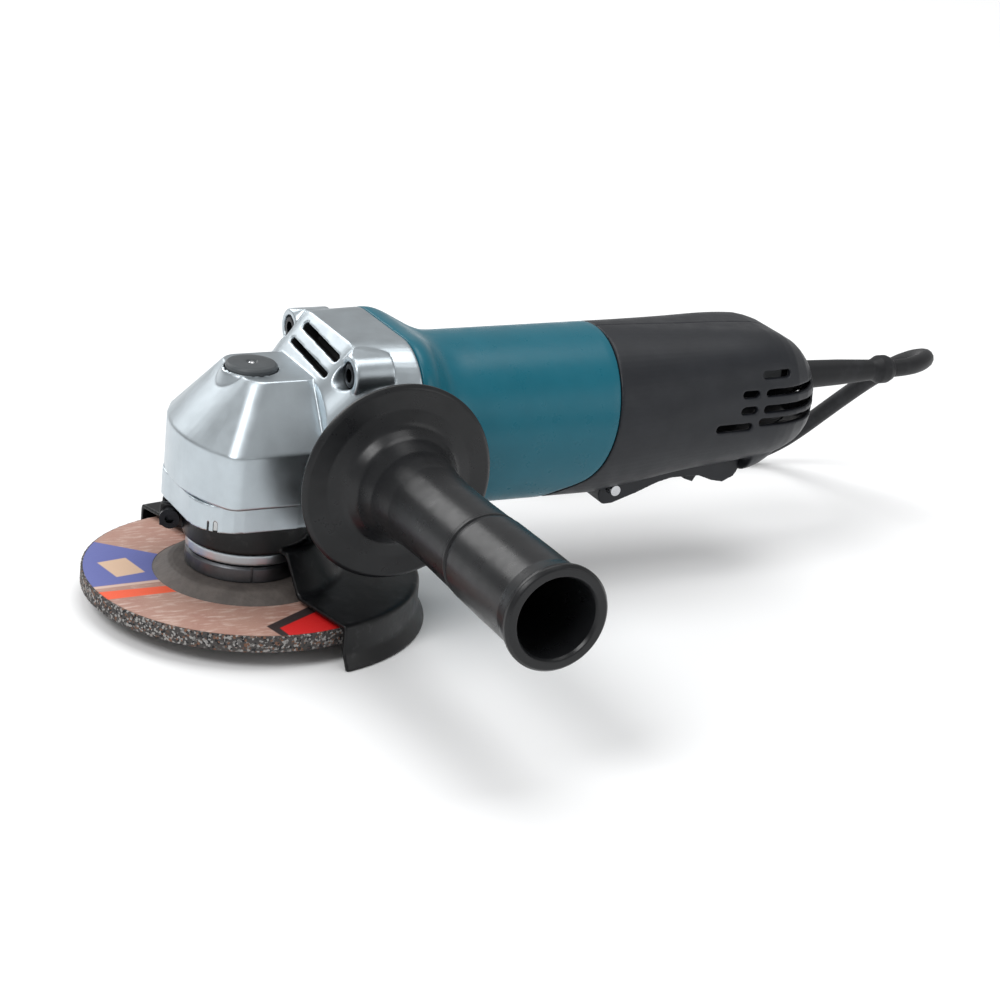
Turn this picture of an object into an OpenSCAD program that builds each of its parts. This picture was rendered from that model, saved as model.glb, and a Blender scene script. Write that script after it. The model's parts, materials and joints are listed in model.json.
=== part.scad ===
// Corded angle grinder with a paddle switch, as an assembly of separate pieces.
// The spindle turns on Z, the motor lies along +X and the side handle points to -Y.
// The origin is on the spindle axis, at the outer face of the lock nut.

/* [Grinding wheel] */
// Outside diameter of the grinding wheel
wheel_d = 115; // [100:1:125]
// Thickness of the grinding wheel
wheel_t = 6; // [4:0.5:7]
// Bore of the grinding wheel
wheel_bore_d = 22.2; // [22:0.1:22.4]
// How far the wheel's rim stands below the nut's face
wheel_drop = 0.2; // [0:0.1:1]

/* [Spindle] */
// Diameter of the spindle's threaded end
spindle_d = 14; // [12:1:16]
// Diameter of the inner flange
flange_d = 42; // [38:1:45]
// Thickness of the inner flange
flange_t = 5.9; // [5:0.1:7]
// Diameter of the lock nut
nut_d = 45; // [42:1:46]
// Thickness of the lock nut's plate
nut_t = 3.8; // [3.5:0.1:5]
// Pitch circle of the lock nut's spanner holes
nut_pcd = 35; // [32:1:36]
// Diameter of a spanner hole
nut_hole_d = 5; // [4:0.5:5]
// Outside diameter of the lower spindle bearing
bearing_d = 32; // [30:1:34]
// Width of the lower spindle bearing
bearing_w = 10; // [9:1:11]

/* [Gears] */
// Height of the motor axis above the nut's face
motor_z = 59.3; // [59:0.1:62]
// Teeth on the bevel gear
gear_teeth = 37; // [37:1:37]
// Teeth on the pinion
pinion_teeth = 12; // [12:1:12]
// Pitch radius of the bevel gear
gear_r = 21; // [20:0.1:22]
// Backlash, measured along the pitch circle
backlash = 0.35; // [0.2:0.05:0.5]

/* [Guard] */
// Gap between the wheel's edge and the guard's skirt
guard_gap = 4.4; // [3:0.1:8]
// Sheet thickness of the guard
guard_t = 1.6; // [1.2:0.1:2.5]
// Angle that the guard covers
guard_sweep = 183; // [150:1:190]
// Outside diameter of the bearing box's neck
neck_d = 39; // [38:0.5:40]
// Height of the guard's clamp band
band_h = 10.5; // [9:0.5:10.5]

/* [Gear housing] */
// Width of the head across the flats
head_w = 62; // [58:1:66]
// Distance from the spindle axis to the front of the head
head_front = 30; // [29:0.5:34]
// Height of the head's lower rim
head_z = 41.8; // [41:0.1:43]
// Width of the square flange on the motor side
flange_w = 74; // [72:1:80]
// Position of the joint between gear housing and motor housing
joint_x = 48; // [48:0.5:52]

/* [Motor] */
// Outside diameter of the motor housing's barrel
barrel_d = 64; // [62:1:72]
// Wall of the motor housing
barrel_wall = 2.6; // [2:0.1:3.2]
// Length of the stator and of the armature's core
core_l = 40; // [32:1:44]
// Diameter of the armature's core
core_d = 33.4; // [30:0.2:35]

/* [Rear handle] */
// Width of the rear handle
handle_w = 58; // [54:1:62]
// Wall of the handle shells
handle_wall = 2.6; // [2:0.1:3.2]
// Position of the handle's rear end
handle_end_x = 228; // [224:1:250]
// Swing of the paddle
paddle_swing = 4.5; // [3:0.5:4.5]

/* [Side handle] */
// Distance of the side handle behind the spindle axis
side_x = 34.5; // [34:0.5:36]
// Height of the side handle's axis
side_z = 55.5; // [54:0.5:58]
// Diameter of the hand guard disc
disc_d = 71; // [60:1:76]
// Diameter of the grip at its outer end
grip_d = 36; // [32:1:40]
// Length of the grip from the gear housing to its tip
grip_l = 129.5; // [110:0.5:160]

/* [Cord] */
// Diameter of the mains cord
cord_d = 7; // [6:0.5:8]
// Number of turns across the stored coil
coil_turns = 4; // [3:1:4]

/* [Hidden] */
$fn = 48;
eps = 0.01;

// Clearances
run_gap = 0.05;
seat_gap = 0.02;
bore_gap = 0.1;
body_gap = 0.3;

// Levels on the spindle axis
hub_z = nut_t;
seat_z = nut_t + wheel_t;
flange_top_z = seat_z + flange_t;
lip_z = flange_top_z + 0.6;
lip_h = 4.1;
neck_z = lip_z + lip_h;
band_z = neck_z + 0.4;
box_z = band_z + band_h + 0.6;
bearing_z = lip_z + 5.7;
bearing_top_z = bearing_z + bearing_w;
gear_z = head_z + 2.4;

// Wheel
wheel_r = wheel_d / 2;
hub_r = 31;
recess_r = 25;
pilot_r = wheel_bore_d / 2 - run_gap;

// Spindle radii
thread_r = spindle_d / 2;
shoulder_r = thread_r + 3;
inner_seat_r = 6;
gear_seat_r = 5;
journal_r = 3;
spindle_top_z = motor_z + 14.7;

// Guard
neck_r = neck_d / 2;
band_in_r = neck_r + body_gap;
band_out_r = band_in_r + 2.5;
skirt_in_r = wheel_r + guard_gap;
skirt_out_r = skirt_in_r + guard_t;
plate_top_z = wheel_t - wheel_drop + 3.5;
guard_start = -78;
guard_drop = 6.5;
ear_angle = 152;
ear_gap = 3;
floor_z = -wheel_drop - guard_drop;

// Bevel gears share one apex, where the spindle axis and the motor axis meet
pinion_r = gear_r * pinion_teeth / gear_teeth;
cone_l = norm([gear_r, pinion_r]);
tooth_m = 2 * gear_r / gear_teeth;
gear_cone = atan(gear_r / pinion_r);
add_a = atan(tooth_m / cone_l);
ded_a = atan(1.25 * tooth_m / cone_l);
pressure = 20;
face_in = 0.64;
lock_r = 8.6;
lock_pin_d = 4.5;
lock_travel = 4;
gear_top_z = motor_z - 5.1;
lock_tip_z = gear_top_z + 0.4;

// Head
head_half = head_w / 2;
crease_z = head_z + 19.5;
deck_z = motor_z + 23.7;
cap_x = -2;
cap_d = 18.4;
flange_half = flange_w / 2;
screw_y = 26.5;
screw_z = 28;
screw_l = 26;

// Motor
barrel_r = barrel_d / 2;
bore_r = barrel_r - barrel_wall;
stator_x = joint_x + 22;
core_r = core_d / 2;
air_gap = 0.6;
barrel_end_x = stator_x + core_l + 21;
spigot_r = barrel_r - handle_wall - body_gap;
slope_x = joint_x - 33;
slope_z = deck_z - 1;
slope_angle = 52;
spigot_clear = 0.3;
spigot_l = 4;
comm_x = stator_x + core_l + 9;
comm_l = 11;
comm_r = 11;
brush_x = comm_x + comm_l / 2;
brush_l = 13;
rear_bearing_x = barrel_end_x + 10;
rear_bearing_w = 6;
front_bearing_x = joint_x - 20;
front_bearing_w = 9;
fan_x = joint_x + 3;

// Rear handle and switch
handle_half = handle_w / 2;
hinge_x = barrel_end_x + 10.5;
hinge_z = motor_z - 28.3;
hinge_pin_r = 2;
paddle_half = 13;
opening_half = paddle_half + 0.8;
lever_x = hinge_x + 43;
lever_z = hinge_z + 6.5;
lever_half = 3.5;
paddle_end_x = handle_end_x - 31.5;
paddle_l = paddle_end_x - hinge_x;
plunger_x = hinge_x + 30;
plunger_r = 3;
plunger_z = hinge_z + 13.5;
cord_z = motor_z + 6.7;
guard_end_x = handle_end_x + 43;

// Side handle
socket_d = 8;
socket_l = 14;
grip_bore_r = 13.6;

// Cord. The lead leaves the cord guard, turns towards +Y and comes down to the floor
cord_r = cord_d / 2;
lead_route = [
    [271, 0, 66], [273, 0, 66], [280.2, 1, 66], [287, 3.8, 66], [292.8, 8.2, 65.6], [297.2, 14, 64.4],
    [300, 20.8, 62], [301, 28.5, 58.6], [300.6, 36, 54], [299.4, 43.5, 48], [297.2, 51.5, 40.6],
    [294, 60, 31.5], [290, 68, 22], [285.5, 75, 13], [280, 80.5, 5.5], [272.5, 84.5, 0],
    [264, 86.8, -2.7], [254, 87.6, -3.2], [244, 87.5, -3.2], [234, 87.1, -3.2], [224, 86.6, -3.2],
    [214, 86.1, -3.2], [206, 85.8, -3.2]
];
tail_route = [
    [170, 85.4, 3.2], [160, 85.3, 1.6], [150, 85.3, -0.8], [141, 85.8, -2.4], [132, 87.8, -3.1],
    [124, 91.8, -3.2], [117.5, 98.2, -3.2], [113.6, 106, -3.2], [112, 115, -3.2], [112, 122, -3.2]
];
coil_at = [185, 142];
coil_mid_r = 42.5;
coil_half = (coil_turns + 1) * cord_d / 2;
coil_layers = 2;
plug_at = [112, 122];

// ---------- helpers ----------

// Points of a rectangle with round corners
function rounded(w, h, r, n = 6) = [
    for (c = [0:3]) for (i = [0:n]) let (a = 90 * c + 90 * i / n)
        [(c == 0 || c == 3 ? 1 : -1) * (w / 2 - r) + r * cos(a),
         (c < 2 ? 1 : -1) * (h / 2 - r) + r * sin(a)]
];

// Turns a piece drawn along Z so that it lies along X, at the height of the motor axis
module on_motor(x = 0) translate([x, 0, motor_z]) rotate([90, 0, 90]) children();

// A plate with round corners that stands across the motor axis
module section(x, w, h, r, dz = 0, t = 0.2)
    on_motor(x) translate([0, dz, 0]) linear_extrude(t) polygon(rounded(w, h, r));

// Tube along Z
module tube(r_out, r_in, h) difference() {
    cylinder(r = r_out, h = h);
    translate([0, 0, -eps]) cylinder(r = r_in, h = h + 2 * eps);
}

// Part of a ring, seen along Z
module ring_sector(r_out, r_in, h, from, to)
    rotate([0, 0, from]) rotate_extrude(angle = to - from) translate([r_in, 0]) square([r_out - r_in, h]);

// Half the thickness of a bevel tooth at a radius r in the plane of the pitch circle
function half_tooth(r, pitch_r, apex) =
    norm([r, apex]) / cone_l *
    (PI * tooth_m / 4 - backlash / 2 - cone_l * tan(atan(r / apex) - atan(pitch_r / apex)) * tan(pressure));

// Outline of a bevel gear in the plane of its pitch circle; apex is the distance to the apex
function bevel_outline(teeth, pitch_r, apex, phase) =
    let (cone = atan(pitch_r / apex), tip = apex * tan(cone + add_a), root = apex * tan(cone - ded_a))
    [for (i = [0:teeth - 1]) let (a = phase + 360 * i / teeth) each
        [for (k = [[root, -1], [tip, -1], [tip, 1], [root, 1]])
            let (b = a + k[1] * half_tooth(k[0], pitch_r, apex) / k[0] * 180 / PI)
            k[0] * [cos(b), sin(b)]]];

// Bevel teeth from the plane at k_out times the apex distance to the plane at k_in; the apex is at the origin
module bevel_teeth(teeth, pitch_r, apex, phase, k_out, k_in)
    translate([0, 0, -apex * k_out])
        linear_extrude(height = apex * (k_out - k_in), scale = k_in / k_out)
            scale(k_out) polygon(bevel_outline(teeth, pitch_r, apex, phase));

// One ring of a ball bearing, from its bore to its outside, along Z
module race(r_out, r_in, w, ball_ring, ball_r) difference() {
    tube(r_out, r_in, w);
    translate([0, 0, w / 2]) rotate_extrude() translate([ball_ring, 0]) circle(r = ball_r);
}

// Points of a ring round a route's point, square to its direction
function unit(v) = v / norm(v);
function direction(p, i) =
    i == 0 ? unit(p[1] - p[0])
    : i == len(p) - 1 ? unit(p[i] - p[i - 1])
    : unit(unit(p[i + 1] - p[i]) + unit(p[i] - p[i - 1]));
function across(d) = unit(cross(d, abs(d[2]) > 0.9 ? [1, 0, 0] : [0, 0, 1]));
function route_ring(p, i, r, sides) =
    let (d = direction(p, i), u = across(d), v = cross(u, d))
    [for (s = [0:sides - 1]) let (a = 360 * (s + 0.5) / sides)
        p[i] + r / cos(180 / sides) * (u * cos(a) + v * sin(a))];

// Closed tube swept along a route
module route_tube(p, r, sides = 10) {
    n = len(p);
    polyhedron(
        points = [for (i = [0:n - 1]) each route_ring(p, i, r * cos(180 / sides), sides)],
        faces = [
            [for (s = [0:sides - 1]) s],
            [for (s = [sides - 1:-1:0]) (n - 1) * sides + s],
            for (i = [0:n - 2]) for (s = [0:sides - 1]) let (t = (s + 1) % sides)
                [i * sides + t, i * sides + s, (i + 1) * sides + s, (i + 1) * sides + t]
        ]);
}

// Cap screw along Z: head above zero, shank below
module cap_screw(head_r, head_h, shank_r, shank_l) difference() {
    union() {
        cylinder(r = head_r, h = head_h);
        translate([0, 0, -shank_l]) cylinder(r = shank_r, h = shank_l + eps);
    }
    translate([0, 0, head_h / 2]) cylinder(r = head_r * 0.5, h = head_h, $fn = 6);
}

// ---------- head ----------

module head_outline(z, front, back, half, r, t = 0.2)
    translate([(back - front) / 2, 0, z])
        linear_extrude(t) polygon(rounded(front + back, 2 * half, r));

module head_shape() {
    hull() {
        head_outline(head_z, head_front, joint_x - 12, head_half, 17);
        head_outline(crease_z, head_front, joint_x - 12, head_half, 17);
        head_outline(motor_z + 15, 21, joint_x - 16, 24, 12);
        head_outline(deck_z - 0.2, 12, joint_x - 20, 17, 8);
    }
    hull() {
        section(joint_x - 0.2, flange_w, flange_w, 20);
        section(joint_x - 20, flange_w - 3, flange_w - 3, 20);
        section(joint_x - 21.5, flange_w - 6, flange_w - 10, 18, 5.3);
        section(slope_x, flange_w - 14, 2 * (slope_z - motor_z), 16);
    }
}

module gear_cavity() {
    difference() {
        union() {
            translate([0, 0, head_z - eps]) cylinder(r = gear_r + 4.5, h = motor_z - head_z + 1);
            translate([0, 0, motor_z + 0.9]) cylinder(r1 = gear_r + 4.5, r2 = 15, h = 11);
        }
        translate([-2.5, 0, motor_z + 6]) cylinder(r = 11, h = 10);
    }
    on_motor(0) cylinder(r = pinion_r + 4.5, h = front_bearing_x + eps);
}

module gear_housing() color("silver") difference() {
    union() {
        head_shape();
        for (s = [-1, 1]) translate([joint_x - 26, s * screw_y, motor_z + screw_z])
            rotate([0, 90, 0]) cylinder(r = 6.6, h = 26 - eps);
        for (s = [-1, 1]) translate([side_x, s * (flange_half - 1), side_z])
            rotate([-90 * s, 0, 0]) cylinder(r = 11, h = 1.5);
    }
    gear_cavity();
    translate([-2, 0, box_z - 20]) linear_extrude(head_z - box_z + 20) polygon(rounded(50 + 0.1, 54 + 0.1, 15));
    translate([20.5, -15, motor_z + 19]) cube([joint_x - 25.5, 30, 7.5]);
    on_motor(front_bearing_x) cylinder(r = 15 + seat_gap, h = front_bearing_w + 0.5);
    on_motor(front_bearing_x + front_bearing_w) cylinder(r = 13, h = 20);
    on_motor(joint_x - 6.5) cylinder(r = bore_r, h = 7);
    for (a = [45, 135, 225, 315]) on_motor(joint_x - 26.5)
        translate([screw_y * sign(cos(a)), screw_z * sign(sin(a)), 0]) {
            cylinder(r = 2.6, h = 30);
            translate([0, 0, -10]) cylinder(r = 4.9, h = 16);
        }
    translate([0, 0, motor_z + 5]) cylinder(r = 5 + seat_gap, h = 11);
    translate([-lock_r, 0, motor_z]) cylinder(r = lock_pin_d / 2 + run_gap, h = 30);
    translate([cap_x, 0, deck_z - 7]) cylinder(r = cap_d / 2 + 0.3, h = 12);
    for (s = [-1, 1]) translate([side_x, s * (flange_half + 0.5), side_z])
        rotate([90 * s, 0, 0]) translate([0, 0, -1]) cylinder(r = socket_d / 2, h = socket_l + 1);
    for (k = [0, 1]) translate([slope_x + 3.4 + 4.2 * k, 0, slope_z + tan(slope_angle) * (3.4 + 4.2 * k)])
        rotate([0, -slope_angle, 0]) cube([2.2 + 0.6 * k, 33 - k, 22], center = true);
}

module housing_screws() color("#1c1d1f")
    for (a = [45, 135, 225, 315]) on_motor(joint_x - 20.5)
        translate([screw_y * sign(cos(a)), screw_z * sign(sin(a)), 0])
            rotate([180, 0, 0]) cap_screw(4.2, 4.5, 2.1, screw_l);

// ---------- shaft lock ----------

module shaft_lock_cap() color("#4b5054") translate([cap_x, 0, 0]) difference() {
    union() {
        translate([0, 0, deck_z - 2]) cylinder(r = cap_d / 2, h = 3);
        translate([0, 0, deck_z + 1]) cylinder(r1 = cap_d / 2, r2 = cap_d / 2 - 2.2, h = 1.2);
    }
    translate([-lock_r - cap_x, 0, deck_z - 3]) cylinder(r = lock_pin_d / 2 - 0.6 + seat_gap, h = 4);
}

module shaft_lock_pin() color("#a9adb0") {
    translate([-lock_r, 0, lock_tip_z]) cylinder(r = lock_pin_d / 2, h = deck_z - 2 - lock_tip_z);
    translate([-lock_r, 0, deck_z - 2 - eps]) cylinder(r = lock_pin_d / 2 - 0.6, h = 2.5);
}

module shaft_lock_spring() color("#b8bcbe") translate([-lock_r + 6.6, 0, deck_z - 7])
    for (k = [0:3]) translate([0, 0, 0.5 + 1.2 * k])
        rotate_extrude() translate([3.1, 0]) circle(r = 0.45, $fn = 16);

// ---------- spindle ----------

module upper_bush() color("#b08a4a") translate([0, 0, motor_z + 7]) tube(5, journal_r + run_gap, 8.6);

module spindle() color("#b9bcc0") {
    translate([0, 0, 0.6]) cylinder(r = thread_r, h = flange_top_z - 0.6);
    translate([0, 0, flange_top_z]) cylinder(r = shoulder_r, h = bearing_z - flange_top_z - 0.1);
    translate([0, 0, bearing_z - 0.1 - eps]) cylinder(r = inner_seat_r, h = bearing_w + 1.5);
    translate([0, 0, bearing_z + bearing_w]) cylinder(r = gear_seat_r, h = motor_z - 3.3 - bearing_z - bearing_w);
    translate([0, 0, motor_z - 3.3 - eps]) cylinder(r = journal_r, h = spindle_top_z - motor_z + 3.3);
}

module bevel_gear() color("#8d9196") difference() {
    union() {
        intersection() {
            translate([0, 0, motor_z]) bevel_teeth(gear_teeth, gear_r, pinion_r, 180 / gear_teeth, 1.36, face_in);
            translate([0, 0, gear_z]) tube(gear_r + 1.2, gear_r * face_in, 20);
        }
        rotate_extrude() polygon([
            [0, gear_z], [12, gear_z], [gear_r + 1.2, gear_z + 3.5],
            [gear_r + 1.2, motor_z - (gear_r + 1.2) / tan(gear_cone - ded_a) + 0.1],
            [gear_r * face_in, motor_z - gear_r * face_in / tan(gear_cone - ded_a) + 0.1],
            [11.6, gear_top_z], [0, gear_top_z]
        ]);
    }
    translate([0, 0, gear_z - 1]) cylinder(r = gear_seat_r + seat_gap, h = 20);
    for (a = [0:90:270]) rotate([0, 0, a]) translate([lock_r, 0, gear_z + 2])
        cylinder(r = lock_pin_d / 2 + 0.3, h = 20);
}

module gear_clip() color("#6f7377") translate([0, 0, gear_top_z + 0.02]) tube(5.7, gear_seat_r + seat_gap, 1);

module bearing_outer_ring() color("#c3c6c9") translate([0, 0, bearing_z])
    race(bearing_d / 2, 12.6, bearing_w, 11, 2.8);

module bearing_inner_ring() color("#c3c6c9") translate([0, 0, bearing_z])
    race(9.4, inner_seat_r + seat_gap, bearing_w, 11, 2.8);

module bearing_balls() color("#d8dadc") translate([0, 0, bearing_z + bearing_w / 2])
    for (a = [0:45:315]) rotate([0, 0, a]) translate([11, 0, 0]) sphere(r = 2.75, $fn = 24);

module bearing_retainer() color("#8f9498") translate([0, 0, bearing_top_z + 0.02]) tube(20.8, 13.2, 1.5);

module bearing_box() color("gainsboro") difference() {
    union() {
        translate([0, 0, lip_z]) cylinder(r = neck_r + 1.5, h = lip_h);
        translate([0, 0, neck_z - eps]) cylinder(r = neck_r, h = box_z - neck_z + 2 * eps);
        translate([-2, 0, box_z]) linear_extrude(head_z - box_z) polygon(rounded(50, 54, 15));
    }
    translate([0, 0, lip_z - 1]) cylinder(r = shoulder_r + 0.4, h = 20);
    translate([0, 0, bearing_z]) cylinder(r = bearing_d / 2 + seat_gap, h = 30);
    translate([0, 0, bearing_top_z]) cylinder(r = 21, h = 30);
    for (x = [-19.5, 16], y = [-20, 20]) translate([x, y, box_z - 1]) {
        cylinder(r = 2.2, h = 20);
        cylinder(r = 3.9, h = 5);
    }
}

module bearing_box_screws() color("#8a8d90") for (x = [-19.5, 16], y = [-20, 20])
    translate([x, y, box_z + 4]) rotate([180, 0, 0]) cap_screw(3.5, 3.4, 2, head_z - box_z - 4.1);

// ---------- guard ----------

module guard_sheet() rotate([0, 0, guard_start]) rotate_extrude(angle = guard_sweep) polygon([
    [band_out_r - 1, band_z], [25.2, band_z],
    [34, plate_top_z - guard_t], [skirt_in_r, plate_top_z - guard_t],
    [skirt_in_r, -1.2], [skirt_out_r + 1.6, floor_z],
    [skirt_out_r + 3.2, floor_z], [skirt_out_r, -0.8],
    [skirt_out_r, plate_top_z - 0.8], [skirt_out_r - 0.8, plate_top_z],
    [34.8, plate_top_z], [26, band_z + guard_t + 0.3], [band_out_r - 1, band_z + guard_t + 0.3]
]);

module guard_ears() rotate([0, 0, ear_angle]) for (s = [-1, 1])
    translate([band_out_r - 1, s * (ear_gap / 2 + 1.5) - 1.5, band_z + 1]) cube([9, 3, band_h - 2]);

module wheel_guard() color("#17181a") difference() {
    union() {
        translate([0, 0, band_z]) tube(band_out_r, band_in_r, band_h);
        guard_sheet();
        guard_ears();
    }
    rotate([0, 0, ear_angle]) translate([band_in_r - 3, -ear_gap / 2, band_z - 1])
        cube([20, ear_gap, band_h + 2]);
    rotate([0, 0, ear_angle]) translate([band_out_r + 4, -20, band_z + band_h / 2])
        rotate([-90, 0, 0]) cylinder(r = 2.1, h = 40);
}

module guard_clamp_screw() color("#1f2022") rotate([0, 0, ear_angle])
    translate([band_out_r + 4, ear_gap / 2 + 3.02, band_z + band_h / 2])
        rotate([-90, 0, 0]) cap_screw(3.6, 3.6, 2, 15);

module guard_clamp_nut() color("#2a2b2d") rotate([0, 0, ear_angle])
    translate([band_out_r + 4, -ear_gap / 2 - 3.02, band_z + band_h / 2]) rotate([90, 0, 0])
        difference() {
            cylinder(r = 3.9, h = 3, $fn = 6);
            translate([0, 0, -1]) cylinder(r = 2.02, h = 6);
        }

// ---------- wheel set ----------

module inner_flange() color("#6d7074") difference() {
    union() {
        translate([0, 0, seat_z + 0.02]) cylinder(r = flange_d / 2, h = flange_t - 0.04);
        translate([0, 0, seat_z - 2.6]) cylinder(r = pilot_r, h = 3);
    }
    translate([0, 0, seat_z - 5]) cylinder(r = thread_r + seat_gap, h = 20);
    for (a = [-75, 105]) rotate([0, 0, a]) translate([flange_d / 2, 0, seat_z + flange_t / 2])
        cube([1.2, 0.9, 20], center = true);
}

module grinding_wheel() color("#9b7468") rotate_extrude() polygon([
    [wheel_bore_d / 2, hub_z + 0.02], [recess_r, hub_z + 0.02], [recess_r + 4, -wheel_drop],
    [wheel_r, -wheel_drop], [wheel_r, wheel_t - wheel_drop], [hub_r + 1, wheel_t - wheel_drop],
    [hub_r - 3.5, seat_z - 0.4], [hub_r - 5, seat_z], [wheel_bore_d / 2, seat_z]
]);

module lock_nut() color("#2b2d30") difference() {
    union() {
        cylinder(r = nut_d / 2, h = nut_t);
        cylinder(r = pilot_r, h = nut_t + 2.4);
    }
    translate([0, 0, -1]) cylinder(r = thread_r + seat_gap, h = 20);
    for (a = [45:90:315]) rotate([0, 0, a]) translate([nut_pcd / 2, 0, -1])
        cylinder(r = nut_hole_d / 2, h = nut_t);
}

// ---------- side handle ----------

// Turns a piece drawn along Z so that it points to -Y from the gear housing's socket
module on_side() translate([side_x, -flange_half - 0.55, side_z]) rotate([90, 0, 0]) children();

module side_handle_grip() color("#2b2d30") on_side() difference() {
    rotate_extrude() polygon([
        [0, 0], [13, 0], [15, 2], [disc_d / 2 - 1, 9.2], [disc_d / 2, 9.6], [disc_d / 2, 10.6],
        [disc_d / 2 - 1.4, 11.8], [24, 12.4], [20.5, 14.5], [16.5, 23], [15, 34], [14.6, 50],
        [15.2, 78], [15.7, 80], [15.7, 83], [15.4, 84], [16.2, 112], [16.4, grip_l - 8],
        [grip_d / 2, grip_l - 3], [grip_d / 2, grip_l - 1.4], [grip_d / 2 - 1.4, grip_l], [0, grip_l]
    ]);
    translate([0, 0, 66]) cylinder(r = grip_bore_r, h = grip_l);
    translate([0, 0, -1]) cylinder(r = socket_d / 2 + seat_gap, h = 22);
}

module side_handle_stud() color("#b5b8bb") on_side()
    translate([0, 0, -socket_l + 1.1]) cylinder(r = socket_d / 2 - seat_gap, h = socket_l + 18);

// ---------- motor ----------

// Rear edge of the motor housing's wall, seen from the side, from its lower end: it sweeps back up to the flat end
rear_edge = [[-23, -32.3], [-20.5, -28.3], [-17, -24.3], [-9, -19.3], [-5, -13.3], [-2.4, -4.3], [-0.6, 5.7]];

// The space behind the rear edge, up to the housing's flat end
module behind_edge(gap = 0) rotate([90, 0, 0]) linear_extrude(100, center = true) translate([gap, -gap]) polygon([
    for (p = rear_edge) [barrel_end_x + p[0], motor_z + p[1]],
    [barrel_end_x + 0.5, motor_z + 6.2], [barrel_end_x + 0.5, motor_z - barrel_r - 5],
    [barrel_end_x + rear_edge[0][0], motor_z - barrel_r - 5]
]);

module motor_housing() color("#166a7a") difference() {
    union() {
        hull() {
            section(joint_x + 0.02, flange_w, flange_w, 20);
            section(joint_x + 3, flange_w, flange_w, 20);
            section(joint_x + 14, barrel_d - 2, barrel_d - 2, barrel_r - 1.5);
        }
        on_motor(joint_x + 12) cylinder(r = barrel_r, h = barrel_end_x - joint_x - 12, $fn = 96);
        on_motor(barrel_end_x - eps) cylinder(r = spigot_r, h = spigot_l);
        on_motor(barrel_end_x + spigot_l - 0.5) cylinder(r = 14.5, h = rear_bearing_w + 7);
    }
    on_motor(joint_x - 1) cylinder(r = bore_r, h = barrel_end_x - joint_x - 1);
    on_motor(barrel_end_x - 3) cylinder(r = spigot_r - 2.4, h = spigot_l + 0.6);
    intersection() {
        behind_edge();
        on_motor(barrel_end_x - 40) tube(barrel_r + 2, bore_r - bore_gap, 40.3);
    }
    on_motor(barrel_end_x) cylinder(r = 7, h = 30);
    on_motor(rear_bearing_x - 0.5) cylinder(r = 11.5 + run_gap, h = 20);
    for (a = [45:90:315]) on_motor(barrel_end_x) rotate([0, 0, a])
        translate([19.5, 0, 0]) cylinder(r = 4, h = 20);
    for (a = [45, 135, 225, 315]) on_motor(joint_x - 1)
        translate([screw_y * sign(cos(a)), screw_z * sign(sin(a)), 0]) cylinder(r = 2.1 + seat_gap, h = screw_l - 19);
}

module baffle_ring() color("#d8d2c2") on_motor(fan_x + 10.2) difference() {
    tube(bore_r - bore_gap, 17, 1.6);
    for (a = [0:90:270]) rotate([0, 0, a]) translate([bore_r - 3, 0, -1]) cylinder(r = 1.6, h = 4);
}

module stator_core() color("#7d8083") on_motor(stator_x) difference() {
    tube(bore_r - bore_gap, core_r + air_gap, core_l);
    for (a = [0, 180]) translate([0, 0, -1]) ring_sector(24.4, 15, core_l + 2, a - 40, a + 40);
}

module field_coils() color("#9a5a2c") for (a = [90, 270]) on_motor(stator_x - 6) {
    for (s = [-1, 1]) ring_sector(24, 18.2, core_l + 12, a + s * 70 - 14, a + s * 70 + 14);
    for (x = [0, core_l + 6.2]) translate([0, 0, x]) ring_sector(24.6, 17.9, 5.8, a - 85, a + 85);
}

module armature_shaft() color("#b9bcc0") {
    on_motor(7.5) cylinder(r = 2.4, h = 6);
    on_motor(13.5 - eps) cylinder(r = 2.8, h = front_bearing_x - 14);
    on_motor(front_bearing_x - 0.5 - eps) cylinder(r = 5, h = rear_bearing_x - front_bearing_x);
    on_motor(rear_bearing_x - 0.5 - 2 * eps) cylinder(r = 3.5, h = rear_bearing_w + 1);
}

module armature_core() color("#8b8e91") on_motor(stator_x) difference() {
    tube(core_r, 5 + seat_gap, core_l);
    for (a = [0:30:330]) rotate([0, 0, a]) translate([core_r - 2, -0.9, -1]) cube([4, 1.8, core_l + 2]);
}

module armature_windings() color("#a8602c") for (k = [[-8.5, 0], [core_l + 0.1, 1]])
    on_motor(stator_x + k[0]) difference() {
        cylinder(r1 = k[1] == 0 ? 11 : 15.4, r2 = k[1] == 0 ? 15.4 : 12.5, h = 8.4);
        translate([0, 0, -1]) cylinder(r = 5 + seat_gap, h = 12);
    }

module commutator() color("#b87333") on_motor(comm_x) difference() {
    tube(comm_r, 5 + seat_gap, comm_l);
    for (a = [0:15:345]) rotate([0, 0, a]) translate([comm_r - 0.7, -0.25, -1]) cube([2, 0.5, comm_l + 2]);
}

module fan() color("#e3ddcc") on_motor(fan_x) difference() {
    union() {
        cylinder(r = 9, h = 9);
        cylinder(r = bore_r - 2.4, h = 1.6);
        intersection() {
            cylinder(r = bore_r - 2.4, h = 9);
            for (a = [0:30:330]) rotate([0, 0, a]) translate([8, -0.7, 1]) rotate([0, 0, 14]) cube([24, 1.4, 8]);
        }
    }
    translate([0, 0, -1]) cylinder(r = 5 + seat_gap, h = 20);
}

module pinion() color("#7c8084") difference() {
    union() {
        intersection() {
            on_motor(0) mirror([0, 0, 1])
                bevel_teeth(pinion_teeth, pinion_r, gear_r, 90, 1.1, face_in);
            on_motor(0) cylinder(r = pinion_r + 1.3, h = 30);
        }
        on_motor(gear_r + 1.6) cylinder(r = pinion_r + 0.2, h = front_bearing_x - gear_r - 2.2);
    }
    on_motor(0) cylinder(r = 2.8 + seat_gap, h = 40);
}

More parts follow.
